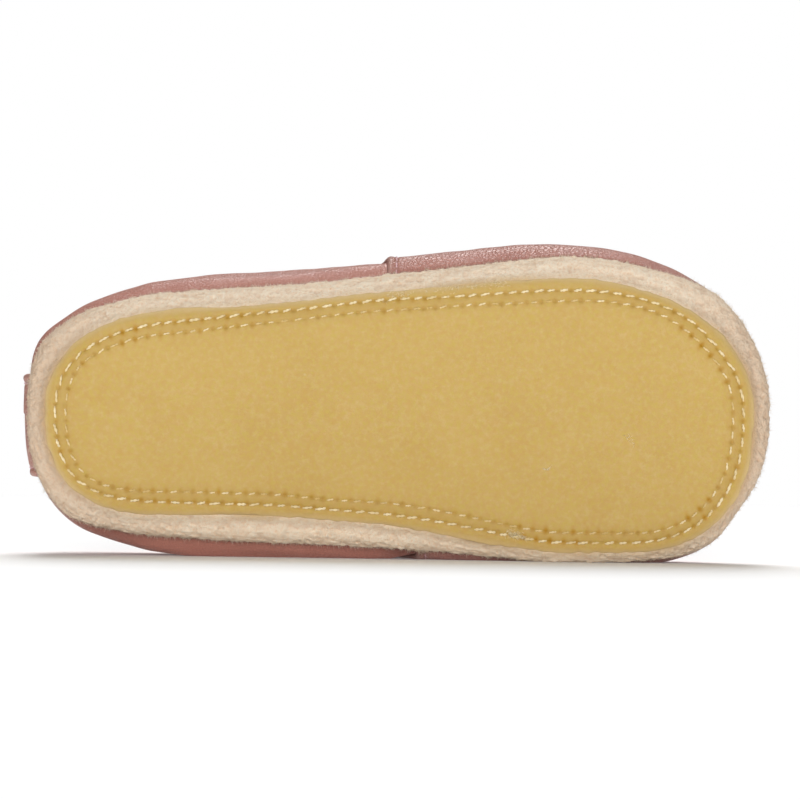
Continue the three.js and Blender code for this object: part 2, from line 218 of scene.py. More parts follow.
def upper_face(turn, level):
    """The plain outside of the upper, before folds and before any leather lies on it."""
    turn, level = np.broadcast_arrays(np.asarray(turn, float), np.asarray(level, float))
    swell, lean, back, side, toe = (curve(UPPER_LEVELS, column, level) for column in range(1, 6))
    out = mix(seam_out(turn), margin(turn) + SWELL * by_side(BULGES, turn), swell)
    xy = mix(plan(turn, out), collar_xy(turn), lean[..., None])
    top = round_the_shoe(COLLAR_BACK, COLLAR_SIDE, THROAT, turn)
    return lifted(xy, mix(RIM_TOP, top, round_the_shoe(back, side, toe, turn)))


def upper_normal(turn, level):
    around = upper_face(turn + TINY, level) - upper_face(turn - TINY, level)
    up = upper_face(turn, np.minimum(level + TINY, 1)) - upper_face(turn, np.maximum(level - TINY, 0))
    return unit(np.cross(around, up))


def find_turn(low, high, measure, value):
    """The turn where a measure that grows from low to high passes a value, by halving."""
    low, high = np.broadcast_arrays(np.asarray(low, float), np.asarray(high, float) + 0 * value)
    low, high = low.copy(), high.copy()
    for _ in range(34):
        middle = (low + high) / 2
        short = measure(middle) < value
        low, high = np.where(short, middle, low), np.where(short, high, middle)
    return (low + high) / 2


def vamp_turn(inner, level):
    x = OUTSOLE_LENGTH * curve(VAMP_EDGE, 2 if inner else 1, level)
    return find_turn(1.0 if inner else 0.0, 0.5, lambda turn: upper_face(turn, level)[..., 0], x)


def patch_turn(level, y):
    return find_turn(-0.2, 0.2, lambda turn: -upper_face(turn, level)[..., 1], -y + 0 * level)


suede_toe, suede_heel = (plan(np.array(end), margin(end))[0] for end in (0.5, 0.0))
print("sole over the suede: %.1f mm" % (suede_toe - suede_heel))

# %% [markdown]
# ## Lying on the floor
#
# The slipper rests on the suede's edge at the ball of the foot and on the soft bulge of the
# leather. Leather that would pass through the floor is laid flat on it instead, which is what the
# weight of the slipper does to it. A cloth simulation would do the same for a much softer bag.

# %% The floor's plane and the CAD frame
dip, lean_over = math.radians(HEEL_DIP), math.radians(LEAN)
floor_normal = unit(np.array([-math.sin(dip), 1.0, -math.sin(lean_over)]))
_edge = np.linspace(0.5, 1, 61)
floor_reach = (lifted(plan(_edge, margin(_edge)), RIM_TOP + 0 * _edge) @ floor_normal).max()


def pressed(points, above=0.0):
    """Points kept above the floor by what still lies between them and the floor."""
    depth = np.maximum(points @ floor_normal - floor_reach + above, 0)
    return points - depth[..., None] * floor_normal


row_up = -floor_normal
row_ahead = unit(np.array([1.0, 0, 0]) - row_up * row_up[0])
LAY = np.stack([row_ahead, np.cross(row_up, row_ahead), row_up])
_turns = np.arange(72) / 72
_outsole = np.concatenate([lifted(plan(_turns, 0 * _turns - inset), z + 0 * _turns)
                           for inset, z in ((ROLL_REACH, 0.0), (0.0, EDGE_ROLL + OUTSOLE_THICKNESS * 0.8))])
_corner = (_outsole @ LAY.T).min(0)
_cad_corner = np.array(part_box("outsole")[0]) * 1000
PLACE = np.array([_cad_corner[0] - _corner[0], _cad_corner[1] - _corner[1], floor_reach])


def in_row(points):
    """Millimetres in the slipper's own axes to metres in the CAD frame."""
    return (np.asarray(points) @ LAY.T + PLACE) / 1000


print("the slipper's origin in the row, mm:", PLACE.round(3))

# %% [markdown]
# ## The camera
#
# The photograph looks straight at the tread from about arm's length through a long lens, and the
# sole lies level across the picture. The camera stands on the tread's normal, 600 mm away, just
# above the floor, and is rolled with the slipper's length. Its place follows from two facts: the
# picture's centre lies on the sole at SIGHT, and 800 pixels span 178.4 mm there.

# %% Camera
PICTURE = 800
MM_PER_PIXEL = 0.223
CAMERA_DISTANCE = 600.0
SIGHT = np.array([79.47, -2.68, 0.0])


def new_object(name, data):
    added = bpy.data.objects.new(name, data)
    bpy.context.scene.collection.objects.link(added)
    return added


camera_data = bpy.data.cameras.new("camera")
camera = new_object("camera", camera_data)
camera_data.sensor_width = 36.0
camera_data.lens = 36.0 * CAMERA_DISTANCE / (MM_PER_PIXEL * PICTURE)
camera_data.clip_start, camera_data.clip_end = 0.01, 50.0
eye = in_row(SIGHT + np.array([0, 0, -CAMERA_DISTANCE]))
right, up, back = LAY @ np.array([1.0, 0, 0]), LAY @ np.array([0, -1.0, 0]), LAY @ np.array([0, 0, -1.0])
turned = Matrix((right, up, back)).transposed()
camera.matrix_world = Matrix.Translation(Vector(eye)) @ turned.to_4x4()
bpy.context.scene.camera = camera
print("camera height above the floor: %.1f mm, lens %.0f mm" % (eye[2] * 1000, camera_data.lens))

# %% [markdown]
# ## Making meshes
#
# Nearly every piece is a grid of points, rows by columns, whose columns may close into a ring. A
# small helper turns such grids into one mesh and stores masks on its points, such as how near an
# edge a point is. The materials read those masks by name.

# %% Mesh helpers
rng = np.random.default_rng(7)


def grid_faces(rows, columns, ring=True, first=0, close=False):
    r = np.arange(rows if close else rows - 1)[:, None]
    c = np.arange(columns if ring else columns - 1)[None, :]
    low, high = r * columns, (r + 1) % rows * columns
    ahead = (c + 1) % columns
    return np.stack([low + c, low + ahead, high + ahead, high + c], -1).reshape(-1, 4) + first


def cap_faces(columns, first=0, turned_over=False):
    """Strips across a ring that follows the sole's outline, from its outer to its inner side."""
    i = np.arange(1, columns // 2 - 1)
    quads = np.stack([i, i + 1, columns - i - 1, columns - i], -1)
    ends = np.array([[0, 1, columns - 1, columns - 1],
                     [columns // 2 - 1, columns // 2, columns // 2 + 1, columns // 2 + 1]])
    faces = [list(q) for q in quads + first] + [list(dict.fromkeys(e)) for e in (ends + first).tolist()]
    return [face[::-1] for face in faces] if turned_over else faces


def capped_faces(rows, columns):
    """The faces of a stack of rings that is closed by strips at both ends."""
    return (grid_faces(rows, columns).tolist() + cap_faces(columns, 0, True)
            + cap_faces(columns, (rows - 1) * columns))


def make_piece(name, points, faces, materials, face_materials=None, masks=None, stands_for=()):
    """A mesh object from points in the slipper's axes, riding on the one body."""
    mesh = bpy.data.meshes.new(name)
    above_floor = pressed(points.reshape(-1, 3))
    mesh.from_pydata(in_row(above_floor).tolist(), [], [list(map(int, f)) for f in faces])
    for material in materials:
        mesh.materials.append(material)
    if face_materials is not None:
        mesh.polygons.foreach_set("material_index", np.asarray(face_materials, np.int32))
    mesh.polygons.foreach_set("use_smooth", np.ones(len(mesh.polygons), bool))
    for mask, values in (masks or {}).items():
        stored = mesh.attributes.new(mask, "FLOAT", "POINT")
        stored.data.foreach_set("value", np.asarray(values, np.float32).ravel())
    mesh.update()
    piece = new_object(name, mesh)
    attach(piece, "root")
    if stands_for:
        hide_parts(*stands_for)
    print(name, "faces:", len(mesh.polygons))
    return piece


def waves(points, lengths, count, seed):
    """Smooth unevenness between about -1 and 1, made of many waves in random directions."""
    draw = np.random.default_rng(seed)
    total = np.zeros(points.shape[:-1])
    for _ in range(count):
        direction = unit(draw.normal(size=3))
        length = draw.uniform(*lengths)
        total += np.sin(points @ direction * 2 * np.pi / length + draw.uniform(0, 6.28))
    return total / math.sqrt(count)


def bump_at(distance, width):
    return np.exp(-(distance / width) ** 2)


# %% [markdown]
# ## Node groups that several finishes share
#
# Leather, suede, rubber and thread differ in colour, but their grain, cloudy colour, small flecks
# and paler edges are the same few effects at other sizes; on the rubber the paler edge is partly
# painted light. Each effect is a node group with named sockets, built once. All of them work in
# millimetres in the object's own space.

# %% Group helpers
def new_group(name, inputs, outputs):
    group = bpy.data.node_groups.new(name, "ShaderNodeTree")
    for label, kind, value in inputs:
        socket = group.interface.new_socket(name=label, in_out="INPUT", socket_type=kind)
        if value is not None:
            socket.default_value = value
    for label, kind in outputs:
        group.interface.new_socket(name=label, in_out="OUTPUT", socket_type=kind)
    return group, group.nodes.new("NodeGroupInput"), group.nodes.new("NodeGroupOutput")


def wire(tree, kind, settings=None, **links):
    """A node with its settings and its inputs: a socket is linked and a number is set."""
    node = tree.nodes.new(kind)
    for key, value in (settings or {}).items():
        setattr(node, key, value)
    for key, value in links.items():
        numbered = key[0] == "i" and key[1:].isdigit()
        socket = node.inputs[int(key[1:]) if numbered else key.replace("_", " ")]
        if isinstance(value, bpy.types.NodeSocket):
            tree.links.new(value, socket)
        else:
            socket.default_value = value
    return node


def maths(tree, operation, a, b=0.0, clamp=False):
    return wire(tree, "ShaderNodeMath", {"operation": operation, "use_clamp": clamp}, i0=a, i1=b).outputs[0]


def blend_colour(tree, share, a, b):
    return wire(tree, "ShaderNodeMix", {"data_type": "RGBA"}, i0=share, i6=a, i7=b).outputs[2]


def noise(tree, place, scale, detail, roughness=0.5):
    """Cloudy noise as a value; scale is about the number of clouds in a millimetre."""
    return wire(tree, "ShaderNodeTexNoise", None, Vector=place, Scale=scale, Detail=detail,
                Roughness=roughness).outputs[0]


def ramp(tree, value, low, high):
    """A value stretched so that low gives 0 and high gives 1."""
    node = wire(tree, "ShaderNodeMapRange", {"interpolation_type": "SMOOTHSTEP"}, i0=value, i1=low, i2=high)
    return node.outputs[0]


VECTOR, FLOAT, COLOUR = "NodeSocketVector", "NodeSocketFloat", "NodeSocketColor"

# %% Cloudy colour
clouds, given, made = new_group(
    "cloudy colour",
    [("Place", VECTOR, None), ("Size", FLOAT, 5.0), ("Sharpness", FLOAT, 0.3),
     ("First", COLOUR, (1, 1, 1, 1)), ("Second", COLOUR, (0, 0, 0, 1))],
    [("Colour", COLOUR), ("Mask", FLOAT)])
_scale = maths(clouds, "DIVIDE", 1.0, given.outputs["Size"])
_noise = noise(clouds, given.outputs["Place"], _scale, 5.0, 0.62)
_width = maths(clouds, "SUBTRACT", 0.5, maths(clouds, "MULTIPLY", given.outputs["Sharpness"], 0.45))
_mask = wire(clouds, "ShaderNodeMapRange", {"interpolation_type": "SMOOTHSTEP"}, i0=_noise,
             i1=maths(clouds, "SUBTRACT", 0.5, _width), i2=maths(clouds, "ADD", 0.5, _width)).outputs[0]
clouds.links.new(_mask, made.inputs["Mask"])
_mixed = blend_colour(clouds, _mask, given.outputs["First"], given.outputs["Second"])
clouds.links.new(_mixed, made.inputs["Colour"])

# %% Leather grain
grain, given, made = new_group(
    "leather grain",
    [("Place", VECTOR, None), ("Size", FLOAT, 0.8), ("Fineness", FLOAT, 0.3)],
    [("Height", FLOAT), ("Pits", FLOAT)])
_scale = maths(grain, "DIVIDE", 1.0, given.outputs["Size"])
_bend = wire(grain, "ShaderNodeTexNoise", None, Vector=given.outputs["Place"], Scale=_scale, Detail=2.0)
_place = wire(grain, "ShaderNodeVectorMath", {"operation": "MULTIPLY_ADD"}, i0=_bend.outputs[1],
              i1=(0.45, 0.45, 0.45), i2=given.outputs["Place"]).outputs[0]
_cells = wire(grain, "ShaderNodeTexVoronoi", {"feature": "DISTANCE_TO_EDGE"}, Vector=_place, Scale=_scale)
_pebble = ramp(grain, _cells.outputs[0], 0.0, 0.22)
_fine = noise(grain, given.outputs["Place"], maths(grain, "MULTIPLY", _scale, 3.5), 3.0)
_height = maths(grain, "ADD", _pebble, maths(grain, "MULTIPLY", _fine, given.outputs["Fineness"]))
grain.links.new(_height, made.inputs["Height"])
grain.links.new(maths(grain, "SUBTRACT", 1.0, _pebble, clamp=True), made.inputs["Pits"])

# %% Small flecks
flecks, given, made = new_group(
    "small flecks",
    [("Place", VECTOR, None), ("Spacing", FLOAT, 3.0), ("Amount", FLOAT, 0.3)],
    [("Mask", FLOAT)])
_scale = maths(flecks, "DIVIDE", 1.0, given.outputs["Spacing"])
_dots = wire(flecks, "ShaderNodeTexVoronoi", None, Vector=given.outputs["Place"], Scale=_scale)
_break = noise(flecks, given.outputs["Place"], maths(flecks, "MULTIPLY", _scale, 4.0), 2.0)
_size = maths(flecks, "MULTIPLY", given.outputs["Amount"], maths(flecks, "MULTIPLY", _break, 0.5))
_mask = maths(flecks, "MULTIPLY", maths(flecks, "SUBTRACT", _size, _dots.outputs[0]), 14.0, clamp=True)
flecks.links.new(_mask, made.inputs["Mask"])

# %% Paler edges: wear, and painted light on the rubber
edge_wear_and_light, given, made = new_group(
    "edge wear and light",
    [("Place", VECTOR, None), ("Edge", FLOAT, 0.0), ("Size", FLOAT, 1.5), ("Amount", FLOAT, 0.5)],
    [("Mask", FLOAT)])
_noise = noise(edge_wear_and_light, given.outputs["Place"], maths(edge_wear_and_light, "DIVIDE", 1.0, given.outputs["Size"]), 4.0)
_edge_share = maths(edge_wear_and_light, "MULTIPLY", given.outputs["Edge"], maths(edge_wear_and_light, "ADD", _noise, 0.4))
edge_wear_and_light.links.new(maths(edge_wear_and_light, "MULTIPLY", _edge_share, given.outputs["Amount"], clamp=True), made.inputs["Mask"])
print("node groups:", [g.name for g in bpy.data.node_groups])

# %% [markdown]
# ## Finishes
#
# Each finish keeps its own Principled shader. Its colour comes from cloudy colour, flecks and the
# masks stored on the mesh, and its bump from grain or nap at the real size. Values that are the
# same all over are set on the shader itself.

# %% Material helpers
def new_material(name):
    material = bpy.data.materials.new(name)
    material.use_nodes = True
    tree = material.node_tree
    shader = tree.nodes["Principled BSDF"]
    object_place = tree.nodes.new("ShaderNodeTexCoord").outputs["Object"]
    in_mm = wire(tree, "ShaderNodeVectorMath", {"operation": "SCALE"}, i0=object_place, Scale=1000.0)
    return material, tree, shader, in_mm.outputs[0]


def use(tree, group, **links):
    node = tree.nodes.new("ShaderNodeGroup")
    node.node_tree = group
    for key, value in links.items():
        socket = node.inputs[key]
        if isinstance(value, bpy.types.NodeSocket):
            tree.links.new(value, socket)
        else:
            socket.default_value = value
    return node


def mask_of(tree, name):
    return wire(tree, "ShaderNodeAttribute", {"attribute_name": name}).outputs["Fac"]


def add_bump(tree, shader, height, depth):
    """A height of 0 to 1 as bump; the depth is in millimetres, the Bump node's distance in metres."""
    node = wire(tree, "ShaderNodeBump", None, Strength=1.0, Distance=depth / 1000, Height=height)
    tree.links.new(node.outputs[0], shader.inputs["Normal"])


def set_all_over(shader, **values):
    """Values that are the same all over, set on the shader's own sockets."""
    for key, value in values.items():
        shader.inputs[key.replace("_", " ")].default_value = value


# A white table needs more light than a picture's middle tones do, so every colour is seen lighter
# than it is. These are how many times lighter; nap shades itself, so suede is seen least so.
SEEN_LIGHTER, NAP_LIGHTER, THREAD_LIGHTER, INSIDE_LIGHTER = 1.47, 1.13, 1.05, 1.0


def shade(rgb, lighter=SEEN_LIGHTER):
    """A colour as seen in the picture, in the linear values that shaders use."""
    linear = [(c / 12.92 if c <= 0.04045 else ((c + 0.055) / 1.055) ** 2.4) for c in (v / 255 for v in rgb)]
    return (*(c / lighter for c in linear), 1.0)


def tinted(tree, colour, tints, lighter=SEEN_LIGHTER):
    """A colour with others laid over it in turn; each has a mask, a share and the colour as seen."""
    for mask, share, rgb in tints:
        laid = maths(tree, "MULTIPLY", mask, share, True)
        colour = blend_colour(tree, laid, colour, shade(rgb, lighter))
    return colour


def cloudy(tree, place, size, sharpness, light, dark, lighter=SEEN_LIGHTER):
    """Cloudy colour between a light and a dark tone."""
    return use(tree, clouds, Place=place, Size=size, Sharpness=sharpness,
               First=shade(light, lighter), Second=shade(dark, lighter)).outputs["Colour"]


# %% Natural rubber
rubber, tree, shader, place = new_material("natural rubber")
broad = cloudy(tree, place, 16.0, 0.1, (224, 189, 112), (212, 175, 97))
warm = use(tree, clouds, Place=place, Size=1.8, Sharpness=0.5)
green = noise(tree, place, 1.15, 7.0, 0.68)
milky = noise(tree, place, 0.85, 6.0, 0.62)
specks = use(tree, flecks, Place=place, Spacing=7.5, Amount=0.12)
nicks = use(tree, flecks, Place=place, Spacing=13.0, Amount=0.11)
# The rubber's skived edge is paler, as thin translucent rubber is, and lightened further as painted light
# where its roll faces down into shade.
pale_lit_edge = use(tree, edge_wear_and_light, Place=place, Edge=mask_of(tree, "edge"), Size=0.5, Amount=1.0)
colour = tinted(tree, broad, [
    (warm.outputs["Mask"], 0.45, (216, 166, 78)),
    (ramp(tree, green, 0.44, 0.62), 0.6, (216, 188, 86)),
    (ramp(tree, milky, 0.42, 0.8), 0.36, (232, 204, 148)),
    (mask_of(tree, "band"), 0.42, (200, 162, 84)),
    (mask_of(tree, "stain"), 0.95, (200, 144, 18)),
    # Painted shade: each needle dimple is darker amber by how deep it is.
    (mask_of(tree, "needle"), 0.4, (176, 128, 36)),
    (specks.outputs["Mask"], 0.6, (140, 104, 50)),
    (nicks.outputs["Mask"], 0.7, (242, 232, 200)),
    (pale_lit_edge.outputs["Mask"], 1.0, (232, 200, 142))])
tree.links.new(colour, shader.inputs["Base Color"])
dull = maths(tree, "MULTIPLY", noise(tree, place, 0.8, 4.0), 0.25)
tree.links.new(maths(tree, "ADD", dull, 0.5), shader.inputs["Roughness"])
set_all_over(shader, Specular_IOR_Level=0.3)
needle_depth = maths(tree, "MULTIPLY", mask_of(tree, "needle"), 0.8)
add_bump(tree, shader, maths(tree, "SUBTRACT", noise(tree, place, 1.6, 6.0, 0.6), needle_depth), 0.12)

# %% Suede
suede, tree, shader, place = new_material("suede")
body = cloudy(tree, place, 3.2, 0.25, (255, 240, 216), (255, 231, 203), NAP_LIGHTER)
nap = noise(tree, place, 1.7, 7.0, 0.72)
specks = use(tree, flecks, Place=place, Spacing=2.1, Amount=0.34)
lighter_edge = use(tree, edge_wear_and_light, Place=place, Edge=mask_of(tree, "edge"), Size=0.6, Amount=0.35)
colour = tinted(tree, body, [
    # Painted shade in the nap's low hollows and painted light on its high tips, from the same noise that
    # makes the bump.
    (maths(tree, "SUBTRACT", 1.0, ramp(tree, nap, 0.3, 0.52)), 1.0, (244, 206, 168)),
    (ramp(tree, nap, 0.52, 0.72), 0.7, (255, 248, 236)),
    # Painted shade where the modelled nap dips.
    (mask_of(tree, "gap"), 0.35, (212, 166, 126)),
    (specks.outputs["Mask"], 0.3, (206, 140, 92)),
    (mask_of(tree, "glue"), 0.6, (214, 178, 118)),
    (lighter_edge.outputs["Mask"], 1.0, (250, 236, 218)),
    # Darker toward the heel and toe ends of the sole.
    (mask_of(tree, "darker_at_ends"), 0.5, (200, 164, 132))], NAP_LIGHTER)
tree.links.new(colour, shader.inputs["Base Color"])
set_all_over(shader, Roughness=1.0, Specular_IOR_Level=0.1, Sheen_Weight=0.12, Sheen_Roughness=0.6,
             Sheen_Tint=shade((255, 240, 224), NAP_LIGHTER))
add_bump(tree, shader, nap, 0.6)


# %% Rose leather
def rose_leather(name, light, dark, grain_size, grain_depth, roughness):
    """Smooth dyed leather: cloudy rose, fine pebbles, painted shade in folds and seams, worn lighter at
    edges.
    """
    material, tree, shader, place = new_material(name)
    body = cloudy(tree, place, 9.0, 0.2, light, dark)
    pebbles = use(tree, grain, Place=place, Size=grain_size, Fineness=0.5)
    worn = use(tree, edge_wear_and_light, Place=place, Edge=mask_of(tree, "edge"), Size=1.2, Amount=0.7)
    colour = tinted(tree, body, [
        (pebbles.outputs["Pits"], 0.18, (132, 86, 76)),
        # Painted shade in creases, in seam furrows and where the leather dives into the sole's seam.
        (mask_of(tree, "fold_shade"), 0.45, (138, 90, 78)),
        (worn.outputs["Mask"], 1.0, (206, 164, 152))])
    tree.links.new(colour, shader.inputs["Base Color"])
    gloss = maths(tree, "ADD", maths(tree, "MULTIPLY", pebbles.outputs["Pits"], 0.2), roughness)
    tree.links.new(gloss, shader.inputs["Roughness"])
    set_all_over(shader, Specular_IOR_Level=0.3)
    add_bump(tree, shader, pebbles.outputs["Height"], grain_depth)
    return material


quarter_leather = rose_leather("rose leather quarter", (220, 153, 135), (206, 138, 121), 0.75, 0.08, 0.3)
vamp_leather = rose_leather("rose leather vamp", (222, 160, 144), (206, 143, 129), 0.9, 0.12, 0.3)
patch_leather = rose_leather("rose leather heel", (220, 156, 138), (204, 139, 122), 0.75, 0.05, 0.34)

# %% Lining, footbed and thread
lining, tree, shader, place = new_material("lining leather")
body = cloudy(tree, place, 8.0, 0.3, (222, 200, 172), (208, 182, 150), INSIDE_LIGHTER)
pebbles = use(tree, grain, Place=place, Size=0.6, Fineness=0.8)
colour = tinted(tree, body, [(pebbles.outputs["Pits"], 0.25, (170, 138, 104))], INSIDE_LIGHTER)
tree.links.new(colour, shader.inputs["Base Color"])
set_all_over(shader, Roughness=0.8)
add_bump(tree, shader, pebbles.outputs["Height"], 0.05)


def sewing_thread(name, light, dark):
    """Twisted thread: the tone mask makes some stitches darker, as where wax or dirt sits."""
    material, tree, shader, place = new_material(name)
    fibres = noise(tree, place, 7.0, 4.0)
    share = maths(tree, "MULTIPLY", mask_of(tree, "tone"), maths(tree, "ADD", fibres, 0.5), clamp=True)
    colour = blend_colour(tree, share, shade(light, THREAD_LIGHTER), shade(dark, THREAD_LIGHTER))
    tree.links.new(colour, shader.inputs["Base Color"])
    set_all_over(shader, Roughness=0.75)
    add_bump(tree, shader, fibres, 0.08)
    return material


cream_thread = sewing_thread("cream thread", (240, 224, 184), (208, 178, 110))
rose_thread = sewing_thread("rose thread", (232, 196, 200), (200, 150, 146))

# %% [markdown]
# ## Rubber outsole
#
# A sheet of natural rubber about 2 mm thick. Its edge is skived thin and rolls up onto the suede,
# and the lockstitches pull two fine furrows into it, with a dimple at every needle hole. The
# rings of points follow the outline at chosen distances, dense where the stitches run, so the
# dimples are real and the amber stain around each hole can be stored as a mask.

# %% Stitch rows
STITCH_PITCH, ROUND_PITCH, ROUND_ENDS = 2.95, 3.7, 20.0
ROUND = 1440
# Columns: share of the length; outer and inner row in from the edge on the outer side, then the same
# on the inner side.
ROWS = np.array([
    (0.0, 2.45, 4.85, 2.45, 4.85), (0.03, 2.5, 4.4, 2.1, 4.2), (0.07, 2.8, 5.0, 2.6, 4.6),
    (0.12, 2.8, 5.1, 3.0, 5.2), (0.2, 2.5, 5.0, 2.8, 5.2), (0.26, 2.1, 4.5, 2.6, 5.0),
    (0.32, 1.8, 4.1, 2.5, 4.9), (0.4, 1.7, 3.9, 2.2, 4.4), (0.5, 1.7, 4.1, 2.6, 5.1),
    (0.6, 2.4, 4.5, 2.6, 4.9), (0.66, 2.7, 5.2, 2.4, 4.6), (0.73, 2.7, 5.1, 2.3, 4.5),
    (0.8, 2.2, 4.3, 2.3, 4.5), (0.87, 1.9, 3.8, 2.3, 4.3), (0.92, 2.0, 4.4, 2.4, 4.5),
    (0.96, 2.9, 5.0, 2.6, 4.8), (1.0, 2.4, 4.8, 2.4, 4.8)])
# Columns: share of the length, side (0 outer, 1 inner), reach as a share, strength of the amber stain.
STAINS = np.array([
    (0.13, 0, 0.06, 1.0), (0.25, 0, 0.05, 0.45), (0.5, 0, 0.05, 0.3), (0.93, 0, 0.05, 0.8),
    (0.985, 0, 0.015, 0.6), (0.69, 1, 0.03, 1.3), (0.74, 1, 0.04, 0.7), (0.93, 1, 0.05, 0.9),
    (0.985, 1, 0.015, 0.7), (0.2, 1, 0.09, 0.6), (0.36, 1, 0.04, 0.35), (0.02, 1, 0.02, 0.5),
    (0.03, 0, 0.02, 0.3)])

# The edge is skived by this much, over this reach; the furrows and dimples are this deep.
SKIVED, SKIVE_REACH = 0.45, 1.4
FURROW_DEPTH, DIMPLE_DEPTH = 0.13, 0.2
# Every needle hole has a little of the amber stain, and none has more than the darkest.
FAINTEST_STAIN, DARKEST_STAIN = 0.22, 1.2

ring = np.arange(ROUND) / ROUND


def row_inset(row, turn):
    """How far in from the rubber's edge a stitch row runs: row 1 is the outer one, row 2 the inner."""
    share = along(turn)
    return np.where(inner_side(turn), curve(ROWS, row + 2, share), curve(ROWS, row, share))


def tread_z(inset, turn):
    """Height of the outsole's underside at a distance in from its edge."""
    skived = SKIVED * np.clip(1 - inset / SKIVE_REACH, 0, 1) ** 2
    outer, inner = bump_at(inset - row_inset(1, turn), 0.45), bump_at(inset - row_inset(2, turn), 0.4)
    return roll(inset) + skived + FURROW_DEPTH * (outer + 0.8 * inner)


def measured(points, closed=False):
    """Distance travelled along a line of points, starting at 0."""
    line = np.concatenate([points, points[:1]]) if closed else points
    return np.concatenate([[0], np.cumsum(np.linalg.norm(np.diff(line, axis=0), axis=-1))])


def row_of_holes(row, seed):
    """The turn of each needle hole of a row; the stitches are longer round the heel and the toe."""
    path = plan(ring, -row_inset(row, ring))
    travelled = measured(path, closed=True)
    x = np.append(path[:, 0], path[0, 0])
    at_end = np.clip(1 - np.minimum(x, OUTSOLE_LENGTH - x) / ROUND_ENDS, 0, 1)
    pitch = mix(STITCH_PITCH, ROUND_PITCH, at_end)
    stitches = np.concatenate([[0], np.cumsum(np.diff(travelled) * 2 / (pitch[1:] + pitch[:-1]))])
    count = round(stitches[-1])
    by_hand = np.random.default_rng(seed).normal(0, 0.05, count)
    holes = (np.arange(count) + 0.5 + by_hand) / count * stitches[-1]
    return np.interp(holes, stitches, np.append(ring, 1.0))


hole_rows = {row: row_of_holes(row, 70 + row) for row in (1, 2)}
print("stitches:", [len(turns) for turns in hole_rows.values()])

# %% The outsole's mesh
# Steps of the rings: 0 is the edge, 1 and 2 are the stitch rows, and each further 1 is INSIDE_STEP in.
STEPS = np.array([
    0.0, 0.04, 0.12, 0.25, 0.4, 0.55, 0.68, 0.78, 0.86, 0.93, 1.0, 1.07, 1.15, 1.25, 1.37, 1.5, 1.63,
    1.75, 1.85, 1.93, 2.0, 2.05, 2.11, 2.19, 2.33, 2.6, 3.1])
INSIDE_STEP = 3.0
INWARD = np.array([0.12, 0.28, 0.46, 0.64, 0.82])


def inset_at(step):
    first, second = row_inset(1, ring), row_inset(2, ring)
    return (np.minimum(step, 1) * first + np.clip(step - 1, 0, 1) * (second - first)
            + np.maximum(step - 2, 0) * INSIDE_STEP)


def stain_strength(turn):
    near = bump_at((along(turn)[:, None] - STAINS[:, 0]) / STAINS[:, 2], 1.0)
    same_side = inner_side(turn)[:, None] == STAINS[:, 1]
    return FAINTEST_STAIN + (near * STAINS[:, 3] * same_side).max(1)


def dimples_and_stains(xy):
    """Depth of the needle dimples and strength of the amber stains at the points of one ring."""
    dimple, stain = np.zeros(len(xy)), np.zeros(len(xy))
    draw = np.random.default_rng(11)
    for row, holes in hole_rows.items():
        spot = plan(holes, -row_inset(row, holes))
        inward = -outward(holes)
        size, depth = draw.uniform(0.36, 0.6, len(holes)), draw.uniform(0.5, 1.0, len(holes))
        stained = stain_strength(holes) * draw.uniform(0.25, 1.15, len(holes))
        away = xy[:, None] - spot[None]
        dimple = np.maximum(dimple, (bump_at(np.linalg.norm(away, axis=-1) / size, 1.0) * depth).max(1))
        deep = (away * inward).sum(-1)
        sideways = np.sqrt(np.maximum((away ** 2).sum(-1) - deep ** 2, 0))
        stain = np.maximum(stain, (bump_at(sideways, 0.5) * bump_at(deep - 0.25, 0.85) * stained).max(1))
    return dimple, np.minimum(stain, DARKEST_STAIN)


rows, hole_mask, stain_mask, ring_inset = [], [], [], []
for step in STEPS[::-1]:
    inset = inset_at(step)
    xy = plan(ring, -inset)
    dimple, stain = dimples_and_stains(xy)
    rows.append(lifted(xy, tread_z(inset, ring) + DIMPLE_DEPTH * dimple))
    hole_mask.append(dimple)
    stain_mask.append(stain)
    ring_inset.append(inset)
innermost = rows[0][:, :2]
spine_x = np.clip(innermost[:, 0], 24, OUTSOLE_LENGTH - 30)
outer_half, inner_half = innermost[:ROUND // 2], innermost[:-ROUND // 2 - 1:-1]
spine_y = np.interp(spine_x, outer_half[:, 0], (outer_half[:, 1] + inner_half[:, 1]) / 2)
spine = np.stack([spine_x, spine_y], -1)
flat_part = [lifted(mix(innermost, spine, share), 0 * ring) for share in INWARD[::-1]]
top_z = EDGE_ROLL + OUTSOLE_THICKNESS
edge_z = tread_z(0 * ring, ring)
side = [lifted(plan(ring, 0 * ring + out), z) for out, z in (
    (0.12, mix(edge_z, top_z, 0.45)), (0.2, mix(edge_z, top_z, 0.9)), (0.0, top_z + 0 * ring),
    (-3.0, roll(3.0) + OUTSOLE_THICKNESS + 0 * ring))]
plain = [0 * ring] * len(flat_part)
grid = np.stack(flat_part + rows + side)
ring_inset = np.stack([20 + 0 * ring] * len(flat_part) + ring_inset + [0 * ring] * len(side))
wobble = 0.17 * waves(grid, (9, 22), 8, 3) + 0.1 * waves(grid, (1.6, 6), 14, 4)
wobble = wobble * np.clip(1 - ring_inset / 0.8, 0, 1)
outward_3d = np.concatenate([outward(ring), np.zeros((ROUND, 1))], -1)
grid = grid + wobble[..., None] * outward_3d[None]
faces = capped_faces(len(grid), ROUND)
masks = {
    "needle": np.stack(plain + hole_mask + plain[:len(side)]),
    "stain": np.stack(plain + stain_mask + plain[:len(side)]),
    "band": bump_at(ring_inset - (row_inset(1, ring) + row_inset(2, ring)) / 2, 2.0),
    "edge": bump_at(ring_inset, 0.8),
}
make_piece("rubber_outsole", grid, faces, [rubber], masks=masks, stands_for=["outsole"])

# %% [markdown]
# ## Stitches
#
# Each stitch is a short piece of twisted thread that dips into a needle hole at both ends. Two
# plies wound round each other catch the light as real thread does, which a plain bead would not.
# The same helper sews every seam of the slipper: it takes a path on the surface, the surface's
# normal and the holes along it.

